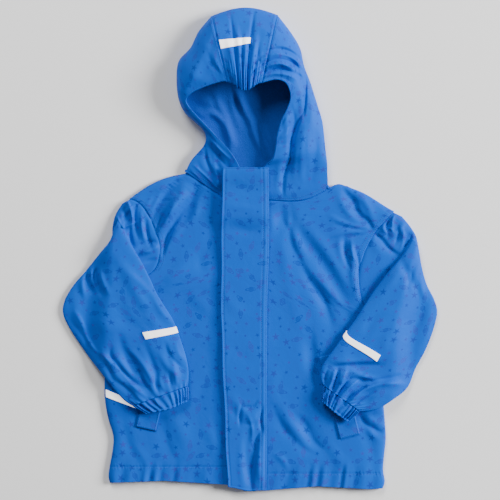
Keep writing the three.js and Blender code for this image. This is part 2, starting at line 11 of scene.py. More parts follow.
import bpy
import numpy as np
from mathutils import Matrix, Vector


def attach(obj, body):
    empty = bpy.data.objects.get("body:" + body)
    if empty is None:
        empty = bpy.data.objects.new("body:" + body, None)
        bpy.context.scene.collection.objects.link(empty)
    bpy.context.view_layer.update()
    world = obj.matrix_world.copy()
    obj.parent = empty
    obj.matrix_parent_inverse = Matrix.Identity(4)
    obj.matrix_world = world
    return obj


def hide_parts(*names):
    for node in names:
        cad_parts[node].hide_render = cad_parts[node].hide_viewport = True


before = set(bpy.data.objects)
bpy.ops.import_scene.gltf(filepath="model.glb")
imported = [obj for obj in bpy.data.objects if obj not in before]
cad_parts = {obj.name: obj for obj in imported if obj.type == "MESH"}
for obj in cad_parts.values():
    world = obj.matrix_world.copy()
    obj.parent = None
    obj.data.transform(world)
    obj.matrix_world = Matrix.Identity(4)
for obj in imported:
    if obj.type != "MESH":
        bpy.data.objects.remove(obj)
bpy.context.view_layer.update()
print("the frame holds", len(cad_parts), "solids")

# %% [markdown]
# ## Sizes and small helpers
# All sizes are in millimetres and are turned into metres only when a mesh is made. A table has
# named columns and a row for each section. A smooth curve is read off it between the rows, so a
# dozen rows are enough for the outline of a sleeve. A Bezier curve could give an outline as well,
# but a table also carries heights and other values beside it.

# %% Tables and curves


def table(names, rows):
    columns = np.array(rows, float).T
    return dict(zip(names.split(), columns))


def read(rows, t):
    """Each column of a table along a smooth curve, at t from 0 to 1."""
    last = len(next(iter(rows.values()))) - 1
    place = np.clip(t, 0, 1) * last
    k = np.minimum(place.astype(int), last - 1)
    f = place - k
    made = {}
    for name, column in rows.items():
        a, b, c, d = (column[np.clip(k + n, 0, last)] for n in (-1, 0, 1, 2))
        curve = c - a + f * (2 * a - 5 * b + 4 * c - d + f * (3 * (b - c) + d - a))
        made[name] = b + 0.5 * f * curve
    return made


def lerp(a, b, t):
    return a + (b - a) * t


def smooth(low, high, x):
    t = np.clip((x - low) / (high - low), 0, 1)
    return t * t * (3 - 2 * t)


def quarter(distance, width):
    """The rise of a quarter circle, from 0 at an edge to 1 at that width from it and beyond."""
    return np.sqrt(1 - (1 - np.clip(distance / width, 0, 1)) ** 2)


def bell(away, width):
    """1 at no distance, and dying out within about twice the width."""
    return np.exp(-((away / width) ** 2))


def points(x, y, z):
    return np.stack(np.broadcast_arrays(x, y, z), axis=-1).astype(float)


print("tables read along smooth curves")

# %% [markdown]
# ## Folds
# A fold is a ridge, or a trough where its rise is negative, from one point to another, bowed
# sideways. It is highest in the middle and dies out at its ends. A lean makes one flank steeper
# than the other, as in cloth that is dragged to one side. Folds could be sculpted too, but a row
# of numbers can be read, moved and deepened later. The large folds of the fronts come first,
# because the flap, the welts and the sleeves lie on them.

# %% Height of folds, and the unevenness of handled cloth


def fold_height(folds, x, y):
    height = np.zeros(np.broadcast(x, y).shape)
    names = list(folds)
    for row in zip(*folds.values()):
        f = dict(zip(names, row))
        dx, dy = f["x2"] - f["x1"], f["y2"] - f["y1"]
        long = math.hypot(dx, dy)
        along = ((x - f["x1"]) * dx + (y - f["y1"]) * dy) / long**2
        t = np.clip(along, 0, 1)
        side = ((x - f["x1"]) * dy - (y - f["y1"]) * dx) / long - 4 * f["bow"] * t * (1 - t)
        lean = 1 + f.get("lean", 0) * np.sign(side) * (1 - np.exp(-np.abs(side) / 2))
        away = np.abs(side / (f["width"] * lean)) ** f.get("power", 2)
        away = away + ((along - t) * long / f["width"]) ** 2
        height += f["rise"] * np.exp(-away) * (0.3 + 0.7 * np.sin(math.pi * t))
    return height


def rumple(x, y, size, seed):
    """Soft uneven heights between -1 and 1, over about that size in millimetres."""
    random = np.random.default_rng(seed)
    made = np.zeros(np.broadcast(x, y).shape)
    for _ in range(9):
        angle, phase = random.uniform(0, 2 * math.pi, 2)
        pitch = size * random.uniform(0.8, 1.7)
        bend = 0.8 * np.sin((x * math.sin(angle) - y * math.cos(angle)) / pitch * 2 + phase)
        made += np.sin((x * math.cos(angle) + y * math.sin(angle)) / pitch * 2 * math.pi + phase + bend)
    return made / 9


BODY_FOLDS = table(
    "x1 y1 x2 y2 bow width rise",
    [
        [-92, 88, -148, 12, -8, 8, 2.5],
        [-78, 84, -134, 18, -8, 8, -2.5],
        [50, 52, 150, -95, -10, 11, -3.2],
        [66, 48, 158, -86, -10, 10, 2.5],
        [76, -10, 126, -130, -6, 11, -1.6],
        [154, 12, 162, -76, 4, 6, 2.5],
        [-66, -30, -140, -72, 6, 12, 2],
        [-60, -60, -130, -110, 4, 12, -2],
        [84, -126, 96, -200, 0, 12, -2.6],
        [78, -250, 106, -300, 4, 13, -2.4],
        [-126, -240, -96, -300, -6, 13, 2],
        [-24, -222, -18, -262, -8, 8, 1.8],
        [2, -262, 0, -352, 8, 9, -2.6],
    ],
)
BODY_LOFT = 8.3


def crown(x, y):
    """Height of the fronts' outer face, with the large folds only."""
    return BODY_LOFT + fold_height(BODY_FOLDS, x, y)


print(len(BODY_FOLDS["x1"]), "large folds on the fronts")

# %% [markdown]
# The smaller creases are added on top of the large folds. Most run from the neck and the
# shoulders to the underarms, because the folded sleeves pull the cloth that way.

# %% Creases of the fronts
BODY_CREASES = table(
    "x1 y1 x2 y2 bow width rise lean power",
    [
        # the wearer's right front
        [-72, 98, -112, 38, 1, 3.2, -6.2, 0.5, 1.3],
        [-92, 70, -130, -6, 6, 3.4, -6.8, 0.5, 1.3],
        [-80, 84, -106, 46, -3, 3, -2, 0, 1.4],
        [-98, 94, -126, 48, -3, 6, 5.4, 0, 1.7],
        [-100, 108, -134, 76, 3, 3.4, -4.6, -0.4, 1.3],
        [-120, 92, -147, 46, 2, 3.6, -5, -0.4, 1.3],
        [-112, 78, -138, 28, -4, 5.4, 4.8, 0, 1.7],
        [-118, 102, -152, 70, 4, 4, 2, 0, 1.7],
        [-134, 88, -150, 66, 2, 3, -2.4, 0.3, 1.4],
        [-130, 54, -143, 22, 0, 2.6, -3, 0, 1.4],
        [-96, 36, -116, 12, 2, 4, 1.4, 0, 1.8],
        [-76, 74, -92, 42, -3, 5, 2.2, 0, 1.8],
        [-96, 40, -124, 6, 3, 5, 2.2, 0, 1.8],
        [-92, -6, -132, -48, -5, 9, 1.3, 0, 2],
        [-66, 4, -72, -34, 6, 8, -1.1, 0, 2],
        [-56, -40, -122, -76, 4, 9, 1.2, 0.3, 2],
        [-52, -96, -88, -60, -4, 9, 0.9, 0, 2],
        [-60, -190, -78, -230, 4, 9, -0.9, 0, 2],
        [-70, -262, -52, -306, -4, 9, 1.1, 0, 2],
        [-128, -262, -110, -318, 5, 8, -1.2, 0.3, 2],
        [-190, -256, -170, -312, 4, 8, -1.3, 0, 2],
        [-178, -290, -150, -330, -3, 7, 1, 0, 2],
        # the wearer's left front
        [46, 64, 58, 30, 3, 5, -2.6, 0.5, 1.6],
        [58, 34, 74, -14, 3, 6, -2.2, 0.5, 1.6],
        [74, -14, 124, -86, 6, 6, -2, 0.4, 1.6],
        [66, 40, 82, -10, 3, 6, 2, 0, 2],
        [82, -16, 158, -96, 5, 7, 2.2, -0.3, 1.7],
        [50, 20, 60, -60, 3, 10, 1.2, 0, 2],
        [92, -44, 122, -112, -4, 6, -1.8, 0.3, 1.7],
        [62, -60, 84, -130, 4, 10, 0.8, 0, 2],
        # and low on it, below the sleeve
        [36, -236, 70, -288, 5, 6, -2.2, 0.4, 1.6],
        [70, -288, 96, -306, 2, 6, -1.6, 0.3, 1.7],
        [48, -232, 84, -286, 5, 7, 1.8, 0, 2],
        [164, -248, 186, -268, 3, 4, -3, 0.4, 1.5],
        [184, -266, 204, -274, 2, 4, -2.4, 0.3, 1.5],
        [172, -244, 198, -262, 3, 5, 2, 0, 1.8],
        [174, -262, 192, -284, 2, 5, 1.6, 0, 1.8],
        [38, -306, 56, -328, -3, 4, 1.8, 0, 1.7],
        # at its shoulder and underarm
        [140, 94, 160, 70, 2, 4, -3.2, 0.5, 1.3],
        [154, 80, 170, 44, 2, 4, -4, 0.5, 1.3],
        [168, 52, 184, 30, -2, 3.4, -3.6, 0.4, 1.3],
        [158, 92, 184, 46, -3, 6, 2.4, 0, 1.8],
        [132, 84, 158, 44, 3, 5, 2, 0, 1.8],
        [120, 52, 174, 33, 4, 2.8, 2.2, 0.3, 1.4],
        [128, 38, 172, 29, 0, 2.6, -2.2, 0, 1.4],
        [124, 20, 172, 26, -4, 2.8, 2.4, 0, 1.4],
        [136, 10, 172, 24, -3, 2.4, -2.4, 0, 1.4],
        [148, 6, 176, 24, 0, 2.4, 2, 0, 1.4],
        [142, 18, 150, -26, 3, 3.4, -3.2, 0.4, 1.4],
        [151, 16, 160, -24, 2, 2.6, 2.6, 0, 1.5],
        [157, 4, 164, -40, -2, 2.4, -2.2, 0, 1.4],
        [134, 20, 142, -22, 3, 5, 1.6, 0, 2],
        # further down on it
        [92, -120, 104, -196, 3, 7, -1.6, 0.3, 1.8],
        [78, -130, 92, -210, 3, 9, 1.1, 0, 2],
        [70, -248, 90, -276, -3, 6, -1.7, 0.4, 1.6],
        [90, -276, 112, -300, 3, 6, -1.7, 0.4, 1.6],
        [60, -256, 84, -296, -3, 8, 1.2, 0, 2],
        [120, -290, 150, -330, 3, 8, 1, 0, 2],
        [168, -262, 186, -330, -4, 9, -1.2, 0, 2],
        [34, -180, 44, -262, 3, 9, 0.8, 0, 2],
        # near the storm flap and under the neck
        [36, 60, 44, 20, -2, 6, -1.5, 0, 2],
        [54, 70, 66, 40, 3, 9, -2.4, 0, 2],
        [52, 72, 56, 30, -4, 3, 1.8, 0, 1.6],
        [-52, 60, -60, 10, 2, 8, -1, 0, 2],
        [-50, -110, -54, -170, 2, 8, 0.7, 0, 2],
    ],
)
print(len(BODY_CREASES["x1"]), "creases on the fronts")

# %% [markdown]
# The hem is turned up and stitched, and its thread draws the cloth into small gathers. One even
# wave would be quick to make, but real gathers come in groups, so each has its own place. The cloth
# sinks at the stitches, and it stands up beside the free edge of the storm flap, over the zip.

# %% Hem, and the whole outer face of the fronts
HEM_GATHERS = table("x width rise", [
    [-205, 6, 0.9], [-192, 5, -1], [-180, 6, 0.8], [-158, 4, 1.3], [-150, 3.5, -1.3], [-142, 4, 1.4],
    [-134, 4, -1.1], [-114, 4, -1.2], [-106, 6, 0.7], [-84, 7, -0.8], [-66, 6, 0.6], [40, 7, 0.7],
    [56, 6, -0.9], [72, 5, 0.8], [88, 4, -1.2], [95, 3.5, 1.3], [102, 4, -1.3], [110, 4, 1.2],
    [122, 5, -0.8], [138, 3, -1.5], [143, 3.5, 1.1], [156, 5, -0.9], [170, 6, 0.8], [186, 6, -0.8],
])  # fmt: skip
HEM_TOP, HEM_LOW = -312, -342
HEM_SLANT = 0.15
HEM_ROW = table("x y", [[-10, -325], [10, -335]])
FREE_EDGE = table("y x", [[-356, -33], [-225, -39], [-75, -43.5], [123, -40]])
SHELL = 1.7
LEAST_HOLLOW = 2.4


def crown_fine(x, y):
    """The same with its creases, with its hem, and with the rise beside the storm flap."""
    fine = fold_height(BODY_CREASES, x, y) + 0.35 * rumple(x, y, 62, 3) + 0.16 * rumple(x, y, 24, 4)
    hem = smooth(HEM_TOP, HEM_LOW, y)
    for at, width, rise in zip(*HEM_GATHERS.values()):
        fine = fine + hem * 1.2 * rise * bell(x - at - HEM_SLANT * (y + 340), width)
    beside = x - np.interp(y, FREE_EDGE["y"], FREE_EDGE["x"])
    fine = fine + (1.7 + 3.4 * smooth(26, 50, y)) * np.exp(-((np.abs(beside + 1) / 9) ** 2.4))
    off_row = y - np.interp(x, HEM_ROW["x"], HEM_ROW["y"])
    fine = fine - 0.7 * bell(off_row, 1.3)
    pucker = np.cos(1.5 * x + 2 * np.sin(0.21 * x) + 0.35 * y)
    fine = fine + 0.35 * pucker * bell(off_row, 4)
    return np.maximum(crown(x, y) + fine, SHELL + LEAST_HOLLOW)


print(len(HEM_GATHERS["x"]), "gathers at the hem")

# %% [markdown]
# ## Finishes
# The outside is a coated cloth with a satin shine and a small print. Its look is made by shader
# nodes. Wired one by one they take many lines, so a small helper adds a node with its inputs and
# settings in one call. It serves the stitches too, which are made by nodes for geometry.

# %% A short way to wire nodes


class Wiring:
    """Adds nodes to one node tree, each given as its type, its inputs and its settings."""

    def __init__(self, tree):
        self.tree = tree

    def feed(self, node, inputs):
        """Gives each input its value, or a link where the value is a socket."""
        for key, value in inputs.items():
            if isinstance(value, bpy.types.NodeSocket):
                self.tree.links.new(value, node.inputs[key])
            else:
                node.inputs[key].default_value = value
        return node

    def add(self, kind, inputs=None, **settings):
        node = self.tree.nodes.new(kind)
        for key, value in settings.items():
            setattr(node, key, value)
        return self.feed(node, inputs or {})

    def math(self, operation, a, b=0.0, c=0.0, clamp=False):
        made = self.add("ShaderNodeMath", {0: a, 1: b, 2: c}, operation=operation, use_clamp=clamp)
        return made.outputs[0]

    def mix(self, factor, a, b):
        return self.add("ShaderNodeMix", {0: factor, 6: a, 7: b}, data_type="RGBA").outputs[2]


def colour(r, g, b):
    """An sRGB colour of 0 to 255 as the linear values that a shader wants."""
    linear = [((v / 255 + 0.055) / 1.055) ** 2.4 for v in (r, g, b)]
    return (*linear, 1.0)


print("wiring helper ready")

# %% [markdown]
# The print has stars, dots and ringed planets, a little darker than the ground. It could be a
# picture, but drawn by nodes it stays sharp from near. It follows the flat cut's own coordinates: a
# Voronoi pattern gives each motif its place and its random turn, and a few sums give its shape. It
# is a group of nodes, because every piece of the outside uses it.

# %% The place and turn of each motif
PRINT_PITCH = 16.5
STAR_TURN = 2 * math.pi / 5
motifs = bpy.data.node_groups.new("Star and planet print", "ShaderNodeTree")
motifs.interface.new_socket("Vector", in_out="INPUT", socket_type="NodeSocketVector")
motifs.interface.new_socket("Mask", in_out="OUTPUT", socket_type="NodeSocketFloat")
motifs.interface.new_socket("Tint", in_out="OUTPUT", socket_type="NodeSocketFloat")
w = Wiring(motifs)
source = w.add("NodeGroupInput").outputs["Vector"]
cells = w.add(
    "ShaderNodeTexVoronoi",
    {"Vector": source, "Scale": 1000 / PRINT_PITCH, "Randomness": 0.72},
    voronoi_dimensions="2D",
)
offset = w.add("ShaderNodeVectorMath", {0: source, 1: cells.outputs["Position"]}, operation="SUBTRACT")
scaled = w.add(
    "ShaderNodeVectorMath",
    {0: offset.outputs[0], "Scale": 1000 / PRINT_PITCH},
    operation="SCALE",
)
chance = w.add("ShaderNodeSeparateColor", {0: cells.outputs["Color"]})
kind, spin, tint = (chance.outputs[k] for k in range(3))
turned = w.add(
    "ShaderNodeVectorRotate",
    {"Vector": scaled.outputs[0], "Angle": w.math("MULTIPLY", spin, 6.283)},
    rotation_type="Z_AXIS",
)
place = w.add("ShaderNodeSeparateXYZ", {0: turned.outputs[0]})
px, py = place.outputs[0], place.outputs[1]
print("motifs about", PRINT_PITCH, "mm apart")

# %% The shapes of the motifs


def root_of_squares(a, b):
    return w.math("SQRT", w.math("ADD", w.math("MULTIPLY", a, a), w.math("MULTIPLY", b, b)))


def inside(edge, sharp):
    """1 nearer to the motif's middle than that edge, and 0 beyond it."""
    return w.math("MULTIPLY", w.math("SUBTRACT", edge, radius), sharp, clamp=True)


def thin_line(distance, at, sharp):
    off = w.math("ABSOLUTE", w.math("SUBTRACT", distance, at))
    return w.math("SUBTRACT", 1, w.math("MULTIPLY", off, sharp), clamp=True)


def star(outer, sharp):
    """Inside of a five-pointed star, from the line between a notch and a point."""
    inner = outer * 0.42
    top = inner * outer * math.sin(STAR_TURN / 2)
    notch = w.math("MULTIPLY", w.math("SINE", angle), inner)
    tip = w.math("MULTIPLY", w.math("SINE", w.math("SUBTRACT", STAR_TURN / 2, angle)), outer)
    return inside(w.math("DIVIDE", top, w.math("ADD", notch, tip)), sharp)


def chosen(low, high):
    """1 where the motif's random number lies between low and high."""
    return w.math("MULTIPLY", w.math("GREATER_THAN", kind, low), w.math("LESS_THAN", kind, high))


radius = root_of_squares(px, py)
in_fifth = w.math("FLOORED_MODULO", w.math("ARCTAN2", py, px), STAR_TURN)
angle = w.math("ABSOLUTE", w.math("SUBTRACT", in_fifth, STAR_TURN / 2))
dot, ball = inside(0.13, 12), inside(0.21, 12)
small_star, big_star = star(0.26, 11), star(0.42, 9)
stripes = w.math("MULTIPLY_ADD", w.math("SINE", w.math("MULTIPLY", py, 62)), 0.45, 0.55, clamp=True)
ring = thin_line(root_of_squares(px, w.math("MULTIPLY", py, 3.4)), 0.47, 9)
rim = thin_line(radius, 0.2, 20)
planet = w.math("MAXIMUM", w.math("MAXIMUM", w.math("MULTIPLY", ball, stripes), rim), ring)
shapes = [(dot, 0.0, 0.26), (small_star, 0.26, 0.5), (big_star, 0.5, 0.7), (planet, 0.7, 1.01)]
mask = 0.0
for shape, low, high in shapes:
    mask = w.math("MULTIPLY_ADD", shape, chosen(low, high), mask)
w.add("NodeGroupOutput", {"Mask": mask, "Tint": tint})
print("print drawn by", len(motifs.nodes), "nodes")

# %% [markdown]
# The coating is smooth, but it lies on a knitted base, so it has a very fine grain and soft dents a
# few millimetres wide. Both are too small to be modelled and are bumps, drawn by noise.

# %% Coated cloth


def material(name, roughness):
    """A new material with its wiring, its shader, and the flat cut's coordinates."""
    made = bpy.data.materials.new(name)
    made.use_nodes = True
    wires = Wiring(made.node_tree)
    shader = made.node_tree.nodes["Principled BSDF"]
    shader.inputs["Roughness"].default_value = roughness
    return made, wires, shader, wires.add("ShaderNodeUVMap", uv_map="cut").outputs[0]


def bumped(wires, height, strength, distance):
    inputs = {"Strength": strength, "Distance": distance, "Height": height}
    return wires.add("ShaderNodeBump", inputs).outputs[0]


shell, w, shader, uv = material("Coated cloth", 0.5)
drawn = w.add("ShaderNodeGroup", {"Vector": uv}, node_tree=motifs)
blotch = w.add("ShaderNodeTexNoise", {"Vector": uv, "Scale": 14.0, "Detail": 2.0})
ground = w.mix(blotch.outputs[0], colour(3, 78, 184), colour(6, 90, 200))
ink = w.mix(drawn.outputs["Tint"], colour(8, 38, 122), colour(64, 52, 150))
strength = w.math("MULTIPLY", drawn.outputs["Mask"], 0.6)
grain = w.add("ShaderNodeTexNoise", {"Vector": uv, "Scale": 900.0, "Detail": 2.0})
dents = w.add("ShaderNodeTexNoise", {"Vector": uv, "Scale": 75.0, "Detail": 3.0, "Distortion": 0.4})
height = w.math("MULTIPLY_ADD", grain.outputs[0], 0.06, dents.outputs[0])
look = {
    "Base Color": w.mix(strength, ground, ink),
    "Normal": bumped(w, height, 0.35, 0.0012),
    "Specular IOR Level": 0.12,
    "Specular Tint": colour(120, 180, 250),
}
w.feed(shader, look)
print(shell.name, "made by", len(shell.node_tree.nodes), "nodes")

# %% [markdown]
# The fleece scatters light from its nap at grazing angles. Hair could do that, but it would be
# heavy, and the sheen of the shader is enough at this distance. The tape throws light back to where
# it comes from and so looks evenly white, for which a weak glow stands.

# %% Fleece, reflective tape and thread
fleece, w, shader, uv = material("Fleece", 0.95)
nap = w.add("ShaderNodeTexNoise", {"Vector": uv, "Scale": 420.0, "Detail": 4.0, "Roughness": 0.7})
tufts = w.add("ShaderNodeTexNoise", {"Vector": uv, "Scale": 70.0, "Detail": 2.0})
height = w.math("MULTIPLY_ADD", tufts.outputs[0], 0.8, nap.outputs[0])
look = {
    "Base Color": w.mix(nap.outputs[0], colour(14, 60, 150), colour(26, 84, 190)),
    "Normal": bumped(w, height, 0.6, 0.0014),
    "Sheen Weight": 0.22,
    "Sheen Roughness": 0.4,
    "Sheen Tint": colour(90, 140, 235),
    "Specular IOR Level": 0.15,
}
w.feed(shader, look)

tape, w, shader, uv = material("Reflective tape", 0.38)
beads = w.add("ShaderNodeTexVoronoi", {"Vector": uv, "Scale": 1500.0})
look = {
    "Base Color": colour(252, 252, 254),
    # painted light: a weak white glow stands in for the light that the tape throws back
    "Emission Color": (1, 1, 1, 1),
    "Emission Strength": 0.9,
    "Normal": bumped(w, beads.outputs["Distance"], 0.12, 0.0003),
}
w.feed(shader, look)

thread, w, shader, uv = material("Thread", 0.6)
w.feed(shader, {"Base Color": colour(20, 84, 180)})
print("materials:", [m.name for m in bpy.data.materials])

# %% [markdown]
# ## Cloth from a grid of points
# A sheet has an outer face given by a function of u and v, and an inner face moved in along the
# normals. A rim joins the two, so that every sheet is a closed thin wall. A Solidify modifier could
# thicken a sheet too, but here the length of each row is measured on the way and becomes the
# texture coordinates, in metres of the flat cut.

# %% Lengths and areas of a grid


def grid(rows, columns):
    u, v = np.meshgrid(np.linspace(0, 1, rows + 1), np.linspace(0, 1, columns + 1), indexing="ij")
    return u, v


def normals(p):
    n = np.cross(np.gradient(p, axis=1), np.gradient(p, axis=0))
    return n / np.maximum(np.linalg.norm(n, axis=-1, keepdims=True), 1e-9)


def lengths(p):
    """Distances along each row from its middle, and along the middle column from the first row."""
    across = np.linalg.norm(np.diff(p, axis=1), axis=-1)
    along = np.linalg.norm(np.diff(p, axis=0), axis=-1)
    s = np.concatenate([np.zeros((p.shape[0], 1)), np.cumsum(across, axis=1)], axis=1)
    middle = p.shape[1] // 2
    t = np.concatenate([[0], np.cumsum(along[:, middle])])
    return s - s[:, middle : middle + 1], np.repeat(t[:, None], p.shape[1], axis=1)


def area_of(p):
    a, b = p[1:, 1:] - p[:-1, :-1], p[1:, :-1] - p[:-1, 1:]
    return float(np.linalg.norm(np.cross(a, b), axis=-1).sum() / 2)


print("lengths are measured along rows and columns")

# %% Closed walls
MM = 0.001
CUTS_APART = 700
SHEETS = {}


def make_wall(name, sheets, finish, back=None, thick=SHELL, side=1):
    """One mesh of closed walls. sheets is a list of grids of points, in millimetres."""
    verts, faces, uvs, kinds = [], [], [], []
    flat_area = wide = long = 0
    start = 0
    for index, p in enumerate(sheets):
        rows, columns = p.shape[0] - 1, p.shape[1] - 1
        n = normals(p) * side
        s, t = lengths(p)
        flat_area += area_of(p)
        wide, long = max(wide, float(s.max() - s.min())), max(long, float(t.max()))
        count = (rows + 1) * (columns + 1)
        at = np.arange(count).reshape(rows + 1, columns + 1) + start
        verts += [p.reshape(-1, 3), (p - n * thick).reshape(-1, 3)]
        cut = np.stack([s + CUTS_APART * index, t], axis=-1).reshape(-1, 2)
        uvs += [cut, cut]
        outer = np.stack([at[:-1, :-1], at[:-1, 1:], at[1:, 1:], at[1:, :-1]], axis=-1).reshape(-1, 4)
        inner = outer[:, ::-1] + count
        rim = np.concatenate([at[0, :], at[1:, -1], at[-1, -2::-1], at[-2:0:-1, 0]])
        after = np.roll(rim, -1)
        edge = np.stack([rim, rim + count, after + count, after], axis=-1)
        parts = [outer, inner, edge]
        if side < 0:
            parts = [part[:, ::-1] for part in parts]
        faces += parts
        kinds += [np.zeros(len(outer), int), np.ones(len(inner), int), np.zeros(len(edge), int)]
        start += 2 * count
    verts, faces = np.concatenate(verts) * MM, np.concatenate(faces)
    uvs, kinds = np.concatenate(uvs) * MM, np.concatenate(kinds)
    mesh = bpy.data.meshes.new(name)
    mesh.from_pydata(verts.tolist(), [], faces.tolist())
    layer = mesh.uv_layers.new(name="cut")
    layer.data.foreach_set("uv", uvs[faces.ravel()].ravel())
    mesh.materials.append(finish)
    mesh.materials.append(back or finish)
    mesh.polygons.foreach_set("material_index", kinds)
    mesh.polygons.foreach_set("use_smooth", np.ones(len(faces), bool))
    mesh.update()
    piece = bpy.data.objects.new(name + "_cloth", mesh)
    bpy.context.scene.collection.objects.link(piece)
    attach(piece, "root")
    SHEETS[piece.name] = (wide * MM, long * MM, flat_area * MM * MM)
    print(f"{name}: {2 * len(faces)} triangles, cut about {wide:.0f} by {long:.0f} mm")
    return piece


LEAST_FLAT = 0.0105


def declare(piece, node):
    """Hides the solid that a sheet stands for. The flat size that it was cut to is worked out, but not
    kept.
    """
    wide, long, area = SHEETS[piece.name]
    wide, long = max(wide, area / long, LEAST_FLAT), max(long, LEAST_FLAT)
    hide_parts(node)


print("cloth helper ready")

# %% [markdown]
# ## Body
# The body is two fronts and a back. Each row of a front runs from the side seam, or the armhole
# above it, to the centre front or the neck edge. The front is rounded down to its seams and the
# back curls up to meet it. A box with rounded edges would be simpler, but its outline could not
# follow the waves of the side seams and of the hem.

# %% Sections of the fronts
RIGHT_SECTIONS = table(
    "sx sy cx cy closed",
    [
        [-210, -348, -10.3, -352, 1],
        [-212, -338, -10.3, -340, 1],
        [-210, -322, -10.3, -322, 1],
        [-206, -300, -10.3, -298, 1],
        [-205, -278, -10.3, -275, 1],
        [-213, -250, -10.3, -248, 1],
        [-218, -218, -10.3, -216, 1],
        [-217, -180, -10.3, -180, 1],
        [-213, -130, -10.3, -135, 1],
        [-208, -90, -10.3, -95, 1],
        [-203, -62, -10.3, -66, 0.8],
        [-172, -50, -10.3, -42, 0.1],
        [-142, -28, -10.3, -18, 0],
        [-135, 2, -10.8, 12, 0],
        [-142, 30, -11.4, 31, 0],
        [-154, 56, -15.5, 57.4, 0],
        [-167, 71, -53, 85.8, 0],
        [-181, 76.5, -95, 114.6, 0],
    ],
)
LEFT_SECTIONS = table(
    "sx sy cx cy closed",
    [
        [199, -357, -9.7, -361, 1],
        [202, -346, -9.7, -348, 1],
        [199.5, -330, -9.7, -330, 1],
        [201, -308, -9.7, -306, 1],
        [203.5, -282, -9.7, -282, 1],
        [202, -255, -9.7, -255, 1],
        [200, -222, -9.7, -222, 1],
        [204, -185, -9.7, -185, 1],
        [209, -148, -9.7, -146, 1],
        [213, -122, -9.7, -112, 1],
        [213, -104, -9.7, -84, 0.8],
        [190, -96, -9.7, -58, 0.1],
        [170, -80, -9.7, -32, 0],
        [163, -42, -9.2, -4, 0],
        [170, -8, -8, 38, 0],
        [186, 24, 12, 71.3, 0],
        [203, 44, 74, 71.9, 0],
        [216, 58, 118, 90.2, 0],
    ],
)
UNDERARM = 10 / 17
HEM_WAVE = table("x rise", [[-214, -1], [-128, 4], [-34, 0], [22, 0], [100, 5], [180, -1], [204, 0]])
BACK_EDGE = table("x rise", [
    [-181, 0], [-150, 18], [-129, 29], [-97, 37], [-77, 43], [10, 36], [80, 11],
    [115, 17], [126, 33], [142, 36], [150, 33], [181, 17], [216, 0],
])  # fmt: skip
print(len(RIGHT_SECTIONS["sx"]), "sections for each front, from the hem up")

# %% [markdown]
# The shoulder is a bow between the last section's ends, and the wearer's left one has a small point
# near the neck. The neck edge is tucked low under the hood, so that the hood can lie on it. The
# sections alone could give all that, but they would need many more rows.

# %% Outer faces of the fronts
SHOULDER = {"right": (8, 1), "left": (13.5, 1.3)}
NECK_POINT, NECK_POINT_AT, NECK_POINT_WIDTH = 6, 131, 14
TUCK_IN, TUCK_TOP = 2.4, 6.9
SEAM_DENT, SEAM_DENT_WIDTH = 0.8, 2.2
SEAM_HEIGHT = 4.2
EDGE_ROUND = 15
GAP = 0.3


def hem_wave(u, x):
    return (1 - smooth(0, 0.1, u)) * np.interp(x, HEM_WAVE["x"], HEM_WAVE["rise"])


def front_plan(sections, shoulder, u, w):
    s = read(sections, u)
    bow, skew = shoulder
    x = lerp(s["sx"], s["cx"], w)
    top = smooth(0.85, 1, u) * bow * np.sin(math.pi * np.clip(w, 0, 1) ** skew)
    top = top + smooth(0.86, 1, u) * NECK_POINT * bell(x - NECK_POINT_AT, NECK_POINT_WIDTH)
    wide = np.hypot(s["sx"] - s["cx"], s["sy"] - s["cy"])
    return x, lerp(s["sy"], s["cy"], w) + top + hem_wave(u, x), s["closed"], wide


def front(sections, shoulder, u, w, surface=crown_fine):
    x, y, closed, wide = front_plan(sections, shoulder, u, w)
    tx, ty, _, _ = front_plan(sections, shoulder, np.ones_like(u), w)
    side_round = lerp(1, quarter(w * wide, EDGE_ROUND), closed)
    top_round = quarter(np.hypot(tx - x, ty - y), EDGE_ROUND)
    low = SEAM_HEIGHT + GAP / 2
    z = low + (surface(x, y) - low) * side_round * top_round
    z = z - SEAM_DENT * (1 - closed) * bell(w * wide, SEAM_DENT_WIDTH)
    tuck = smooth(0.97, 1, w) * smooth(0.87, 0.9, u)
    return points(x, y + TUCK_IN * tuck, lerp(z, np.minimum(z, TUCK_TOP), tuck))


def right_front(u, w, surface=crown_fine):
    return front(RIGHT_SECTIONS, SHOULDER["right"], u, w, surface)


def left_front(u, w, surface=crown_fine):
    return front(LEFT_SECTIONS, SHOULDER["left"], u, w, surface)


def near_side(v):
    """Closer rows of points near the side seam."""
    return lerp(v * v, v, 0.5)


u, v = grid(210, 96)
pieces = {}
pieces["front_right"] = make_wall("front_right", [right_front(u, near_side(v))], shell, fleece)
pieces["front_left"] = make_wall("front_left", [left_front(u, near_side(v))], shell, fleece, side=-1)
for name in ("front_right", "front_left"):
    declare(pieces[name], name)

# %% [markdown]
# The back is flat where it rests, and its edges curl up at the side seams and the shoulders to meet
# the fronts. A plain sheet would leave a gap there. A cosine spaces its points closer at the sides.

# %% Back
UNDER_ROUND = 9
BACK_LONG = 600


def back_face(u, v):
    right, left = read(RIGHT_SECTIONS, u), read(LEFT_SECTIONS, u)
    w = 0.5 - 0.5 * np.cos(math.pi * lerp(v, 0.5 - 0.5 * np.cos(math.pi * v), 0.4))
    x = lerp(right["sx"], left["sx"], w)
    rise = np.interp(x, BACK_EDGE["x"], BACK_EDGE["rise"])
    y = lerp(right["sy"], left["sy"], w) + smooth(0.8, 1, u) * rise + hem_wave(u, x)
    wide = np.hypot(right["sx"] - left["sx"], right["sy"] - left["sy"])
    closed = np.where(v < 0.5, right["closed"], left["closed"])
    side = 1 - quarter(np.minimum(w, 1 - w) * wide, UNDER_ROUND)
    shoulder = (1 - quarter((1 - u) * BACK_LONG, UNDER_ROUND)) * smooth(100, 118, np.abs(x - 10))
    return points(x, y, (SEAM_HEIGHT - GAP / 2) * np.maximum(side * closed, shoulder))


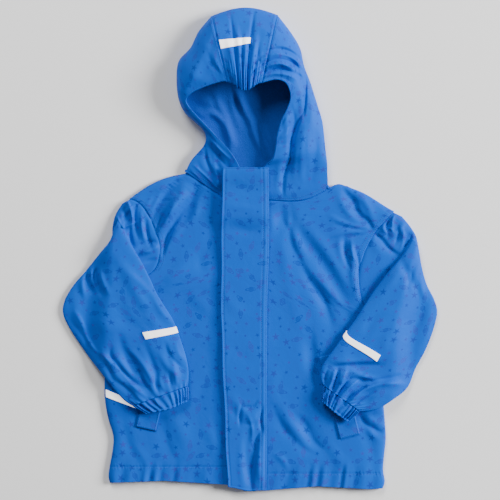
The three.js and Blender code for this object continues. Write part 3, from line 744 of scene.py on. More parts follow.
u, v = grid(60, 80)
pieces["back"] = make_wall("back", [back_face(u, v)], shell, fleece, side=-1)
declare(pieces["back"], "back")

# %% [markdown]
# The storm flap covers the zip. Its sewn edge is on the wearer's left and its other edge is free,
# so it stands a little off the front and curls softly along its length. It is stitched twice along
# the sewn edge and once along the free one. The cloth sinks at those rows, which a bump could only
# suggest, so they are part of the form.

# %% Storm flap
FLAP_SECTIONS = table(
    "lx rx y",
    [
        [-33, 24, -356],
        [-36, 25, -300],
        [-39, 25, -225],
        [-42, 25, -150],
        [-43.5, 25.5, -75],
        [-43, 28, 0],
        [-42, 28, 78],
        [-40, 27, 123],
    ],
)
FLAP_CREASES = table(
    "x1 y1 x2 y2 bow width rise lean power",
    [
        [10, -290, 2, -362, 3, 5.5, -4.2, 0.4, 1.5],
        [18, -284, 17, -350, 4, 6, 2.4, 0, 1.8],
        [-10, -280, -9, -352, 3, 6, 1.8, 0, 2],
        [-15, -262, -12, -232, -2, 3, -3.2, 0.3, 1.5],
        [-12, -234, 10, -228, 5, 2.6, -2.8, 0, 1.5],
        [19, -236, 19, -272, 3, 3, -3.2, 0.3, 1.5],
        [18, -268, 6, -300, 3, 4, -3.2, 0.3, 1.5],
        [-8, -260, 12, -250, 6, 3, -2, 0.3, 1.5],
        [2, -236, 4, -264, 0, 11, 2, 0, 2],
        [-4, -246, 2, -286, -4, 3, 1.8, 0, 1.6],
        [-30, -236, -20, -262, -4, 5, -0.9, 0, 2],
        [-38, -60, -10, -100, 3, 9, 0.8, 0, 2],
        [-34, 40, 12, 26, 3, 7, -0.9, 0, 2],
        [-36, 66, 14, 60, 0, 6, 0.8, 0, 2],
        [-30, -140, 10, -168, 4, 10, -0.6, 0, 2],
        [-38, 100, -4, 92, 0, 7, -0.6, 0, 2],
    ],
)
LAY_GAP = 1.8
FLAP_LONG = 479
SEWN_ROWS, FREE_ROW = (1.6, 8), 3.8


def flap_face(u, v):
    s = read(FLAP_SECTIONS, u)
    x = lerp(s["lx"], s["rx"], v) + 0.5 * np.sin(u * 31 + v) * (1 - v)
    y = s["y"] - 5 * v * (1 - smooth(0, 0.05, u)) + 1.5 * np.sin(v * 7 + 1) * (1 - smooth(0, 0.04, u))
    lift = 4.6 * smooth(26, 54, y) + 4.4 * smooth(84, 118, y)
    free = (1 - v) ** 3 * (0.6 + 0.6 * np.sin(u * 17 + 0.6))
    creases = fold_height(FLAP_CREASES, x, y) + 0.25 * rumple(x, y, 55, 8)
    sewn = 1 - smooth(0.9, 1, v)
    z = crown(x, y) + LAY_GAP + 2.2 + lift + free + creases * (0.3 + 0.7 * sewn)
    wide = s["rx"] - s["lx"]
    from_free = np.minimum(v * wide, np.minimum(u, 1 - u) * FLAP_LONG)
    z = z + 0.55 * bell(from_free, 2.4) - 0.6 * bell(from_free - FREE_ROW, 1.1)
    for row in SEWN_ROWS:
        z = z - 0.6 * bell((1 - v) * wide - row, 1)
    return points(x, y, z + 0.7 * sewn)


u, v = grid(200, 60)
pieces["storm_flap"] = make_wall("storm_flap", [flap_face(u, v)], shell)
declare(pieces["storm_flap"], "storm_flap")

# %% [markdown]
# The pocket welts are slanted bands of folded cloth on the fronts. Most of each lies under a
# sleeve, and only the lower end shows below the cuff. A welt could be a plain block, but it has to
# follow the folds of the front, so it takes its heights from there.

# %% Pocket welts
POCKETS = {"right": (-142, -206, 0.225), "left": (133.5, -218, -0.265)}
WELT, WELT_WIDE, WELT_LONG = 1.7, 31, 127


def welt_axes(lean):
    size = math.hypot(lean, 1)
    return np.array([1, -lean]) / size, np.array([lean, 1]) / size


def welt_face(side):
    x0, y0, lean = POCKETS[side]
    across, up = welt_axes(lean)

    def face(u, v):
        s, t = (v - 0.5) * WELT_WIDE, (u - 0.5) * WELT_LONG
        x, y = x0 + across[0] * s + up[0] * t, y0 + across[1] * s + up[1] * t
        return points(x, y, crown_fine(x, y) + GAP + WELT)

    return face


def welt_rise(x, y):
    rise = 0
    for x0, y0, lean in POCKETS.values():
        across, up = welt_axes(lean)
        s = np.abs((x - x0) * across[0] + (y - y0) * across[1]) - WELT_WIDE / 2
        t = np.abs((x - x0) * up[0] + (y - y0) * up[1]) - WELT_LONG / 2
        rise = np.maximum(rise, (WELT + GAP) * (1 - smooth(3, 26, np.maximum(s, t))))
    return rise


u, v = grid(60, 16)
for side in POCKETS:
    name = "pocket_welt_" + side
    pieces[name] = make_wall(name, [welt_face(side)(u, v)], shell, thick=WELT)
    declare(pieces[name], name)

# %% [markdown]
# ## Sleeves
# A sleeve lies folded over the front. Its head is seen between the armhole seam and the shoulder,
# and then the arm turns back in over it. The arm is a flat ring of cloth, high over the body and
# coming down to the table past the body's edge. A tube bent along a curve would turn its folds
# round with it, so each section is placed by its outer and inner end, as they lie on the photo.

# %% Sections of the sleeves
BODY_EDGES = table(
    "y left right",
    [
        [-360, -214, 204],
        [-104, -214, 216],
        [-50, -206, 232],
        [10, -206, 248],
        [90, -200, 250],
    ],
)


def support(x, y):
    """Height of what an arm lies on: the front and a welt, or the table past the body's edge."""
    left = np.interp(y, BODY_EDGES["y"], BODY_EDGES["left"])
    right = np.interp(y, BODY_EDGES["y"], BODY_EDGES["right"])
    past = np.maximum(left - x, x - right)
    return (crown(x, y) + welt_rise(x, y) + LAY_GAP) * (1 - smooth(-2, 34, past))


RIGHT_ARM = table(
    "ox oy ix iy high sunk",
    [
        [-203, 34, -197, 46, 7, 6],
        [-210, 14, -189, 30, 8.2, 3],
        [-226, -6, -176, 6, 8.6, 0],
        [-245, -30, -161, -20, 8.6, 0],
        [-264, -52, -149, -44, 8.6, 0],
        [-277, -74, -140, -64, 8.6, 0],
        [-280.5, -94, -128, -84, 8.6, 0],
        [-271, -116, -116, -103, 8.6, 0],
        [-257, -138, -108, -122, 8.6, 0],
        [-240, -162, -101, -142, 8.6, 0],
        [-221, -186, -95, -162, 8.6, 0],
        [-203, -209, -92, -180, 8.6, 0],
        [-188, -225, -92, -193, 8.6, 0],
        [-176, -233, -93, -203, 8.6, 0],
    ],
)
LEFT_ARM = table(
    "ox oy ix iy high sunk",
    [
        [251, 12, 243, 17, 7, 6],
        [254, -6, 228, -8, 8.2, 3],
        [258, -28, 207, -33, 8.6, 0],
        [265, -52, 187, -59, 8.6, 0],
        [276, -74, 169, -86, 8.6, 0],
        [280.5, -94, 156, -106, 8.6, 0],
        [274, -122, 142, -125, 8.6, 0],
        [263, -150, 130, -142, 8.6, 0],
        [248, -178, 119, -157, 8.6, 0],
        [236, -206, 109, -172, 8.6, 0],
        [214, -224, 105, -186, 8.6, 0],
        [190, -238, 107, -197, 8.6, 0],
        [164, -241, 111, -203, 8.6, 0],
    ],
)
print(len(RIGHT_ARM["ox"]), "and", len(LEFT_ARM["ox"]), "sections from the fold to the cuff")

# %% [markdown]
# The arms have folds of three kinds: broad ones, the lines that a seam inside presses through along
# the outer edge, and short ones that run into the cuffs. Those close to the cuffs come from the
# elastic and are many, so they are drawn by a seeded random row and not one by one.

# %% Folds of the arms
ARM_FOLDS = table(
    "x1 y1 x2 y2 bow width rise",
    [
        [-150, -220, -196, -128, -6, 6, -4],
        [-130, -210, -158, -140, 0, 5, -3],
        [-108, -196, -120, -146, 0, 5, 3],
        [-262, -70, -210, -196, 14, 8, 3],
        [-222, -18, -236, -62, 4, 5, -3],
        [-200, -10, -130, -130, 0, 9, 3],
        [128, -212, 138, -178, 0, 5, 4],
        [140, -220, 170, -186, 3, 5, -4],
        [156, -222, 214, -196, 6, 6, 4],
        [112, -170, 196, -168, 8, 7, -3],
        [250, -60, 222, -10, 0, 6, -3],
    ],
)
ARM_CREASES = table(
    "x1 y1 x2 y2 bow width rise lean power",
    [
        # the wearer's right: the elbow, then the lines along the outer edge
        [-244, -32, -236, -62, 4, 3, -4.4, 0.4, 1.4],
        [-238, -28, -228, -60, 3, 3, 3.4, 0, 1.5],
        [-232, -30, -221, -66, 3, 2.8, -4.2, 0.3, 1.4],
        [-226, -28, -212, -64, 2, 4, 2.8, 0, 1.7],
        [-250, -36, -248, -70, 2, 4, 2.6, 0, 1.8],
        [-262, -92, -246, -128, -2, 3.2, 2, 0.3, 1.4],
        [-247, -126, -226, -156, 2, 3, 2.2, 0.3, 1.4],
        [-228, -153, -188, -188, -2, 3, 2.2, 0.3, 1.4],
        [-190, -186, -157, -218, 2, 3, 1.8, 0, 1.4],
        [-270, -106, -240, -150, -3, 5, -1.6, 0, 1.8],
        [-232, -150, -205, -194, -3, 4, -2, 0.3, 1.6],
        [-205, -194, -172, -220, -2, 4, -2, 0.3, 1.6],
        [-222, -150, -180, -206, 4, 5, 1.4, 0, 2],
        # its folds that run into the cuff
        [-208, -146, -203, -168, 3, 3.5, -2.2, 0.3, 1.5],
        [-203, -166, -162, -206, 3, 3.5, -2.6, 0.4, 1.5],
        [-200, -158, -158, -200, 3, 4, 1.8, 0, 1.7],
        [-184, -152, -165, -184, -2, 3.5, -2.8, 0.4, 1.5],
        [-165, -184, -148, -212, 2, 3.5, -3, 0.4, 1.5],
        [-174, -154, -142, -206, -3, 4.5, 2.2, 0, 1.8],
        [-142, -190, -136, -214, 2, 3, -2.4, 0, 1.5],
        [-136, -186, -128, -210, 2, 3.5, 1.8, 0, 1.8],
        [-121, -186, -118, -205, 0, 2.6, -2, 0, 1.5],
        [-112, -186, -109, -202, 0, 3, 1.2, 0, 1.8],
        [-127, -140, -98, -178, 5, 4, -2.2, 0.3, 1.6],
        [-134, -156, -106, -190, 3, 5, 1.6, 0, 2],
        [-112, -138, -92, -168, 5, 5, 1.4, 0, 2],
        # its broad soft ones
        [-186, -28, -146, -68, 0, 6, 1.6, 0, 1.8],
        [-146, -68, -117, -110, 2, 5, 1.5, 0, 1.8],
        [-200, -70, -170, -120, 6, 11, -1.3, 0, 2],
        [-240, -110, -190, -130, -5, 11, 1, 0, 2],
        [-160, -86, -136, -106, 0, 8, -1, 0, 2],
        # the wearer's left: the upper arm
        [250, -20, 236, -62, 4, 5, -2, 0, 1.7],
        [258, -40, 262, -74, 2, 5, 1.6, 0, 2],
        [226, -24, 190, -70, -3, 7, 1.4, 0, 2],
        [270, -88, 252, -150, -6, 7, 1.4, 0.3, 1.8],
        [262, -76, 236, -130, -5, 6, -1.4, 0, 2],
        [196, -96, 170, -128, 3, 8, -1.3, 0, 2],
        [214, -120, 200, -150, 3, 8, 1, 0, 2],
        # its roll above the cuff and the folds that run into it
        [124, -166, 194, -164, 4, 5, 1.4, 0, 2],
        [120, -176, 196, -172, -3, 4, -2.8, 0.3, 1.6],
        [152, -192, 222, -188, 5, 4, -3.4, 0.3, 1.5],
        [148, -178, 222, -198, 6, 4.5, 2.8, 0, 1.7],
        [150, -192, 128, -222, 2, 2.8, -5, 0.3, 1.4],
        [143, -176, 122, -220, -5, 3, 4.2, 0, 1.5],
        [132, -178, 122, -214, -2, 2.6, -4.6, 0.3, 1.4],
        [127, -178, 114, -212, -2, 3, 3.6, 0, 1.5],
        [116, -178, 112, -204, 2, 2.6, -3.2, 0, 1.5],
        [172, -188, 130, -228, 3, 3, 4.4, 0, 1.5],
        [172, -202, 142, -230, 2, 2.8, -4.8, 0.3, 1.4],
        [192, -200, 146, -230, 4, 3.2, 3.8, 0, 1.5],
        [186, -212, 152, -236, 2, 2.8, -3.6, 0.3, 1.4],
        [176, -206, 234, -202, -4, 4, 2.4, 0.3, 1.6],
        [206, -212, 176, -234, 3, 5, 1.4, 0, 2],
    ],
)
print(len(ARM_FOLDS["x1"]), "folds and", len(ARM_CREASES["x1"]), "creases on the arms")

# %% The wall of an arm
ARM_HIGH = 8.6
DEEPEST = -3.5


def end_gathers(u, v, count, seed):
    """Small folds that run into the cuff, uneven in length, from the gathers of its elastic."""
    random = np.random.default_rng(seed)
    made = 0
    for k in range(count):
        at, reach = (k + random.uniform(-0.3, 0.3)) / count, random.uniform(0.06, 0.17)
        strong = random.uniform(0.5, 1)
        near = (v - at + 0.5) % 1 - 0.5
        made = made + strong * np.exp(-((near * count * 2.6) ** 2)) * smooth(1 - reach, 1, u)
    return made


def arm_face(arm, u, v, move=(0, 0), gathers=None):
    s = read(arm, u)
    angle = 2 * math.pi * v
    c = -np.cos(angle) * (1 - 0.08 * np.sin(angle) ** 2)
    a = 0.5 + 0.5 * c
    x, y = lerp(s["ox"], s["ix"], a) + move[0], lerp(s["oy"], s["iy"], a) + move[1]
    height = np.sqrt(np.maximum(1 - np.abs(c) ** 3.2, 0))
    over = np.sin(angle) > 0
    folds = (fold_height(ARM_FOLDS, x, y) * 0.8 + 1.3 * fold_height(ARM_CREASES, x, y)) * height**0.7
    folds = folds + (0.5 * rumple(x, y, 58, 12) + 0.2 * rumple(x, y, 22, 13)) * height
    if gathers is not None:
        folds = folds + 2.3 * gathers * height**0.5 * s["high"] / ARM_HIGH
    folds = np.maximum(folds, DEEPEST)
    middle = support(x, y) + s["high"] / 2 - s["sunk"]
    half_high = np.where(over, 0.5, -0.5) * s["high"] * height
    return points(x, y, middle + half_high + np.where(over, folds, 0))


print("an arm is", ARM_HIGH, "mm high")

# %% [markdown]
# The head of a sleeve is sewn in with a little more cloth than the armhole, so it puckers along the
# seam. The puckers are short, deep and close together. Noise would spread them evenly, so these are
# placed one by one as well.

# %% Heads of the sleeves
HEAD_RIGHT = table(
    "ox oy",
    [[-191, 70], [-201, 54], [-206, 35], [-206, 14], [-203, -12], [-201, -36], [-205, -56]],
)
HEAD_LEFT = table(
    "ox oy",
    [[228, 50], [241, 34], [250, 17], [250, -6], [244, -34], [236, -64], [220, -92]],
)
HEAD_FOLDS = table(
    "x1 y1 x2 y2 bow width rise",
    [
        [-196, 48, -176, 66, 0, 4, 3],
        [-160, -6, -134, 8, 0, 4, 3],
        [214, 18, 232, 40, 0, 4, 3],
        [226, 6, 240, 26, 0, 4, -3],
    ],
)
HEAD_CREASES = table(
    "x1 y1 x2 y2 bow width rise lean power",
    [
        [-185, 76, -176, 34, -3, 2, 5, 0.4, 1.3],
        [-172, 42, -192, 34, -2, 2, 4.4, 0.3, 1.3],
        [-200, 54, -189, 32, 2, 1.9, 4.4, 0, 1.3],
        [-190, 40, -186, 14, 2, 2, 4, 0.3, 1.3],
        [-190, 64, -184, 42, 0, 4.5, -4, 0, 1.7],
        [-200, 44, -196, 20, 0, 3, -3.4, 0, 1.5],
        [-180, 32, -175, 4, 2, 3, -4, 0, 1.5],
        [-171, 66, -167, 16, 3, 2.6, -3.4, 0.3, 1.4],
        [-163, 56, -157, 12, 2, 2.6, 3, 0, 1.5],
        [-156, 44, -147, 2, 2, 2.4, -3.4, 0.3, 1.4],
        [-168, 2, -138, 12, -4, 4, -2.6, 0, 1.6],
        [-166, -8, -150, -2, -2, 2.2, 2.6, 0, 1.3],
        [-158, -18, -140, -14, 0, 3, -2, 0, 1.5],
        # the two puckers at the top of the wearer's left sleeve
        [202, 54, 203, 26, 3, 2.4, 3, 0.3, 1.3],
        [208, 46, 207, 20, 2, 3, -4.4, 0, 1.4],
        [217, 54, 214, 26, 3, 2.4, 3.2, -0.3, 1.3],
        [204, 26, 214, 27, -6, 2.2, 2.6, 0, 1.4],
        [222, 34, 218, 10, -2, 3, -4, 0.3, 1.4],
        [229, 30, 226, 2, -2, 2.6, 3.4, 0, 1.3],
        [242, 24, 230, 2, -3, 2.6, -3.8, 0.3, 1.3],
        [246, 18, 236, -4, -2, 2.4, 2.6, 0, 1.4],
        [182, 34, 200, 14, 2, 2.8, -4, 0.5, 1.2],
        [197, 18, 224, -8, 3, 2.8, -4, 0.5, 1.2],
        [192, 40, 214, 22, 2, 4, 2.2, 0, 1.7],
        [180, 20, 196, -6, 0, 8, 1.4, 0, 2],
    ],
)


def head_face(sections, outline, u, v):
    seam = read(sections, lerp(0.99, UNDERARM + 0.07, u))
    s = read(outline, u)
    reach = np.hypot(s["ox"] - seam["sx"], s["oy"] - seam["sy"])
    half = v < 0.5
    away = np.where(half, 2 * v, 2 - 2 * v)
    w = lerp(np.where(half, -2.2, 1.2) / reach, 1, np.sin(math.pi / 2 * away))
    x, y = lerp(seam["sx"], s["ox"], w), lerp(seam["sy"], s["oy"], w)
    from_outline = (1 - w) * reach
    rounded = quarter(from_outline, np.minimum(EDGE_ROUND, reach * 0.8))
    creases = fold_height(HEAD_FOLDS, x, y) + fold_height(HEAD_CREASES, x, y)
    creases = np.maximum(creases * smooth(0, 6, w * reach), -3.4)
    start = quarter(u * 110 + 2, EDGE_ROUND)
    high = SEAM_HEIGHT + (crown(x, y) + creases * rounded - SEAM_HEIGHT) * rounded * start
    high = high - 2.3 * (1 - smooth(-1.2, 0.6, w * reach)) - 0.8 * bell(w * reach, 2.5)
    low = SEAM_HEIGHT * (1 - quarter(from_outline, UNDER_ROUND))
    return points(x, y, np.where(half, high, low))


print(len(HEAD_CREASES["x1"]), "puckers at the heads of the sleeves")

# %% [markdown]
# The underarm seam runs along the underside of the arm, nearly three quarters of the way round from
# the outer edge. The wall of the arm ends there on both sides with a hair's gap, as at a sewn seam.
# A closed ring would be simpler, but it couldn't be laid out flat.

# %% Make the sleeves
SEAM_AT = 0.72
END_GATHERS = 26
ARMS = {
    "right": (RIGHT_SECTIONS, HEAD_RIGHT, RIGHT_ARM, 1),
    "left": (LEFT_SECTIONS, HEAD_LEFT, LEFT_ARM, -1),
}
for name, (sections, outline, arm, turn) in ARMS.items():
    u, v = grid(120, 168)
    ring = SEAM_AT + lerp(0.001, 0.999, v)
    tube = arm_face(arm, u, ring, gathers=end_gathers(u, ring, END_GATHERS, 5 + turn))
    u, v = grid(92, 100)
    head = head_face(sections, outline, u, v)
    if turn > 0:
        tube = tube[:, ::-1]
    else:
        head = head[:, ::-1]
    full = "sleeve_" + name
    pieces[full] = make_wall(full, [head, tube], shell, fleece)
    declare(pieces[full], full)

# %% [markdown]
# Each cuff is a casing with elastic in it. The gathers are folds across the casing, uneven in
# height and spacing, and the casing is drawn in between them. Plain waves would look machined, so
# a slow random drift moves the crests apart and together.

# %% Cuffs
CUFF_DEPTH, CUFF_GATHERS = 23, 24
CASING_ROW = 0.86
RIGHT_RUN = table("x y", [[0.86, -0.51], [0, -1]])
LEFT_RUN = table("x y", [[-0.71, -0.7], [-0.16, -0.99]])


def cuff_face(arm, fan, u, v, seed):
    angle = 2 * math.pi * v
    on = read(fan, 0.5 - 0.5 * np.cos(angle) * (1 - 0.08 * np.sin(angle) ** 2))
    run = lerp(-1.6, 2 * GAP + CUFF_DEPTH, u) / np.hypot(on["x"], on["y"])
    random = np.random.default_rng(seed)
    left = arm is LEFT_ARM
    drift = 0
    for k in (1, 2, 3, 5):
        size, phase = random.uniform(0.15, 0.5), random.uniform(0, 6)
        drift = drift + size * np.sin(2 * math.pi * k * v + phase)
    wave = np.cos(2 * math.pi * CUFF_GATHERS * v + 3 * drift + 0.8 * np.sin(4 * u + 11 * v))
    crest = 1 - 2 * np.abs(np.sin(2.5 * math.pi * CUFF_GATHERS * v / 4 + 2 * drift + 0.6 * u)) ** 0.7
    strong = (1.25 if left else 0.9) + 0.25 * np.sin(2 * math.pi * 3 * v + drift)
    p = arm_face(arm, np.ones_like(v), v, (on["x"] * run, on["y"] * run))
    out = np.sin(angle)
    tall = np.minimum(1, 4 * np.abs(out))
    pinch = 1 - 0.75 * bell(u * CUFF_DEPTH, 3) - 0.4 * bell((1 - u) * CUFF_DEPTH, 2)
    seams = 0.25 * bell(u * CUFF_DEPTH, 2) + 0.7 * bell((u - CASING_ROW) * CUFF_DEPTH, 1.3)
    p[..., 2] += np.where(out > 0, tall * (strong * pinch * (0.95 * wave + 0.85 * crest) + 0.8 - seams), 0)
    p[..., 0] += 0.6 * wave * (1 - tall) * (1 if left else -1)
    p[..., 1] -= u * 0.45 * wave
    tucked = 1 - smooth(0.05, 0.12, u)
    p[..., 2] -= np.sign(out) * (1.2 if left else 1.7) * tucked * tall
    middle = p.mean(axis=1, keepdims=True)[..., :2]
    p[..., :2] = lerp(p[..., :2], middle, 0.05 * tucked[..., None])
    return p


for name, fan in (("right", RIGHT_RUN), ("left", LEFT_RUN)):
    _, _, arm, turn = ARMS[name]
    u, v = grid(26, 440)
    p = cuff_face(arm, fan, u, SEAM_AT + lerp(0.001, 0.999, v), 20 + turn)
    full = "cuff_" + name
    pieces[full] = make_wall(full, [p if turn < 0 else p[:, ::-1]], shell, fleece)
    declare(pieces[full], full)

# %% [markdown]
# ## Hood
# The hood has two side panels and a centre panel that is gathered at the brim by elastic. It lies
# on its back: the side panels rise from the table to the rim of the face opening, and the centre
# panel comes up over the crown to the brim. A bent ball would be a start, but the rim and the edge on
# the table wander each in its own way, so a side panel is given by both, row by row.

# %% Sections of the hood
HOOD_RIGHT = table(
    "rx ry rz ox oy oz",
    [
        [-11.4, 58, 12.5, -96.5, 116.5, 10],
        [-11.4, 100, 13.5, -88, 134, 11],
        [-16, 124, 18, -70, 155, 12],
        [-31, 149, 23, -66, 167, 12],
        [-50, 170, 24, -70, 179, 12],
        [-65, 186, 26, -82, 191, 12],
        [-81, 203, 29, -98, 206, 12],
        [-96, 221, 32, -107, 226, 13],
        [-87, 234, 36, -110, 252, 13],
        [-68, 243, 40, -107, 282, 13],
        [-50, 249, 43, -89, 303, 13],
        [-39, 251, 45, -77, 327, 13],
        [-34, 250, 46, -58, 350, 13],
    ],
)
HOOD_LEFT = table(
    "rx ry rz ox oy oz",
    [
        [-8.6, 74, 12.5, 117, 92, 10],
        [-8.6, 100, 13.5, 116, 114, 11],
        [20, 124, 18, 115.5, 131, 12],
        [33, 135, 26, 113, 152, 12],
        [37, 148, 28, 111, 172, 13],
        [40, 169, 31, 108, 194, 13],
        [46, 192, 34, 102, 214, 13],
        [54, 208, 37, 97, 230, 13],
        [60, 224, 40, 90, 252, 13],
        [59, 238, 42, 81, 276, 13],
        [52, 250, 44, 75, 302, 13],
        [38, 254, 46, 61, 326, 13],
        [18, 249, 47, 41, 352, 13],
    ],
)
print(len(HOOD_RIGHT["rx"]), "sections for each side of the hood, from the neck to the brim")

# %% [markdown]
# One long fold comes round from the gathers at the brim and runs down the wearer's left side to the
# neck. It is a chain of seven creases, because no single bow follows its path. Curved wrinkles lie
# beside the gathers, because the elastic pulls the brim together.

# %% Folds of the hood
HOOD_FOLDS = table(
    "x1 y1 x2 y2 bow width rise",
    [
        [50, 292, 80, 232, -9, 6, -6],
        [78, 225, 55, 120, 5, 8, -5],
        [92, 190, 80, 110, 0, 10, 3],
        [26, 284, 66, 266, -4, 5, 3],
        [-70, 300, -100, 240, -4, 9, 3],
        [-60, 150, -40, 105, 0, 6, -3],
    ],
)
HOOD_CREASES = table(
    "x1 y1 x2 y2 bow width rise lean power",
    [
        # the wearer's left: the long fold from the gathers down to the neck
        [40, 301, 76, 284, -4, 2.8, -3.4, 0.4, 1.4],
        [73, 288, 83, 238, -5, 2.8, -4.4, 0.5, 1.4],
        [83, 244, 80, 200, -1, 2.8, -4.2, 0.5, 1.4],
        [80, 208, 62, 158, 2, 2.8, -4.4, 0.4, 1.4],
        [62, 166, 60, 126, -1, 2.8, -4.2, 0.3, 1.4],
        [60, 134, 50, 106, 1, 2.8, -3.8, 0.3, 1.4],
        [51, 114, 49, 80, 0, 2.8, -3, 0.3, 1.5],
        [82, 186, 76, 112, 2, 5, 1.8, 0, 1.8],
        [70, 284, 76, 200, -5, 5, 2.8, 0, 1.8],
        [93, 262, 91, 186, -2, 6, 2.2, 0, 2],
        # the curved wrinkles beside the gathers
        [0, 264, 80, 273, -23.5, 2.6, 4.4, 0.3, 1.5],
        [1, 261, 78, 269, -19, 2.1, -4.6, 0, 1.4],
        [2, 258, 77, 262, -16.5, 2.4, 4.2, 0, 1.5],
        [4, 255, 77, 258, -12.5, 2.1, -4.2, 0, 1.4],
        [8, 252, 70, 254, -9.5, 2.4, 3.2, 0, 1.5],
        [14, 250, 62, 250, -6, 2.1, -2.4, 0, 1.5],
        [22, 298, 62, 302, -4, 3, 1.8, 0, 1.5],
        [16, 290, 52, 298, -4, 2, -2, 0, 1.4],
        [12, 296, 24, 262, 3, 3, -2, 0, 1.6],
        # soft forms beside the long fold, and the small wrinkles at the rim
        [62, 214, 66, 182, -2, 3.4, -1.6, 0.3, 1.5],
        [54, 200, 54, 140, -2, 4.5, 2.2, 0, 1.8],
        [46, 130, 40, 92, 0, 5, 1.4, 0, 2],
        [47, 186, 60, 200, 0, 2.6, 1.5, 0, 1.6],
        [45, 176, 60, 186, 0, 2.4, -1.5, 0, 1.6],
        [43, 166, 58, 174, 0, 2.6, 1.4, 0, 1.6],
        [42, 156, 54, 160, 0, 2.4, -1.2, 0, 1.6],
        [76, 170, 66, 104, 3, 6, 1.6, 0, 2],
        [100, 170, 92, 104, 0, 7, -1.4, 0, 2],
        [88, 150, 84, 100, 2, 5, -1, 0, 2],
        # the wearer's right
        [-54, 290, -40, 262, 2, 3.5, 1.6, 0, 1.6],
        [-62, 292, -46, 264, 2, 3.5, -1.4, 0, 1.6],
        [-90, 262, -60, 252, 3, 8, 1.2, 0, 2],
        [-104, 236, -92, 214, 0, 5, -1.2, 0, 2],
        [-86, 196, -62, 176, 2, 3, 1.6, 0, 1.5],
        [-60, 166, -30, 136, 1, 3, 2, 0.3, 1.5],
        [-64, 160, -36, 126, 1, 3, -2.2, 0, 1.5],
        [-68, 156, -52, 108, 4, 3.2, -2.8, 0.4, 1.5],
        [-54, 146, -44, 100, 3, 4, 2, 0, 1.7],
        [-80, 134, -62, 108, 2, 4, -0.9, 0, 1.8],
        [-34, 132, -26, 96, 0, 4, -1.6, 0, 1.7],
        # the binding's two edges, pressed through along the neck seam
        [-90, 121, -52, 82, 0, 1.5, 1.9, 0, 2],
        [-86, 128, -46, 88, -1.5, 1.5, 1.9, 0, 2],
        # raised beside the storm flap, which it carries
        [-50, 84, -47, 124, 0, 7, 4, 0, 2.4],
        # the crown
        [-46, 330, 0, 336, 3, 9, -1.2, 0, 2],
        [4, 340, 30, 322, 0, 8, 1.2, 0, 2],
        [2, 314, 2, 296, 0, 3, -1.8, 0, 1.6],
        [-50, 322, -58, 300, 0, 5, -1.2, 0, 2],
    ],
)
print(len(HOOD_FOLDS["x1"]), "folds and", len(HOOD_CREASES["x1"]), "creases on the hood")

# %% [markdown]
# A side panel rises from its edge on the table to the rim in a round puff, and past that edge it
# turns in under the hood. At the neck it lies low over the fronts, with a small roll at the seam. A
# quarter circle could give the puff, but cloth stands a little fuller, so a power curve does.

# %% Side panels
UNDER_HOOD, TURN, NECK_SAG = 24, 0.72, 12
HOOD_MIDDLE = (-8, 215)
NECK_HEIGHT, NECK_ROLL = 9, 1.1


def away_from_rim(v):
    """From 0 at the rim to 1 at the edge on the table."""
    return np.sin(math.pi / 2 * np.minimum(v / TURN, 1))


def hood_creases(x, y, a):
    soft = np.minimum(1, 9 * a) * np.minimum(1, 6 * (1 - a))
    return soft * (fold_height(HOOD_CREASES, x, y) + 0.4 * rumple(x, y, 50, 21))


def hood_side(sections, u, v, fine=1.0):
    """A side panel's outer face. fine is 0 for its plain form, which the centre panel goes by."""
    s = read(sections, u)
    a = away_from_rim(v)
    puff = (1 - a**2.4) ** 0.55
    sag = NECK_SAG * (1 - smooth(0, 0.14, u)) * np.sin(math.pi * a**1.7) * (sections is HOOD_LEFT)
    x, y = lerp(s["rx"], s["ox"], a), lerp(s["ry"], s["oy"], a) - sag
    ends = np.minimum(1, 3 * a) * np.minimum(1, 3 * (1 - a))
    creases = fold_height(HOOD_FOLDS, x, y) * ends
    creases = creases + fine * hood_creases(x, y, a)
    z = s["oz"] + (s["rz"] - s["oz"]) * puff + creases
    rolled = 1 - smooth(0, 0.007, u)
    z = lerp(z, NECK_HEIGHT, 1 - smooth(0, 0.05, u)) - fine * NECK_ROLL * rolled
    top = points(x, y, z)
    turn = np.clip((v - TURN) / (1 - TURN), 0, 1)
    inx = (HOOD_MIDDLE[0] - s["ox"]) * (1 - 0.6 * smooth(0.75, 1, u))
    iny = (HOOD_MIDDLE[1] - s["oy"]) * lerp(0.12, 1, smooth(0, 0.3, u))
    size = np.hypot(inx, iny)
    under = UNDER_HOOD * (1 - np.cos(math.pi / 2 * turn))
    drop = 1 - np.sin(math.pi / 2 * np.minimum(1, 1.6 * turn))
    below = points(s["ox"] + inx / size * under, s["oy"] + iny / size * under, s["oz"] * drop)
    return np.where((v <= TURN)[..., None], top, below)


print("a side panel turns in by", UNDER_HOOD, "mm under the hood")

# %% [markdown]
# The centre panel spans the two sides, over the brim and then round the crown. The elastic in its
# casing draws the brim into folds that fan out from it, some long and some short. A cloth
# simulation with shrinking springs could find such folds, but not in the places of these.

# %% Centre panel
OVER, CROWN_BULGE, BRIM_SAG = 0.42, 12, 12
FAN_MIDDLE = 0.46
BRIM_FOLDS = table("c width reach rise", [
    [0.2, 0.05, 0.66, 2], [0.31, 0.026, 1.1, -2.6], [0.385, 0.036, 0.84, 2.8], [0.46, 0.02, 0.66, -2.2],
    [0.52, 0.034, 0.74, 2.4], [0.615, 0.028, 1.2, -3], [0.7, 0.045, 0.78, 2.4], [0.79, 0.03, 0.6, -1.6],
    [0.12, 0.02, 0.3, 1.2], [0.24, 0.014, 0.4, 1.4], [0.28, 0.012, 0.3, 1.4], [0.345, 0.014, 0.44, 1.4],
    [0.42, 0.012, 0.34, 1.6], [0.49, 0.013, 0.4, 1.4], [0.56, 0.013, 0.44, 1.6], [0.66, 0.013, 0.32, 1.5],
    [0.74, 0.014, 0.4, 1.3], [0.85, 0.02, 0.3, 1],
])  # fmt: skip


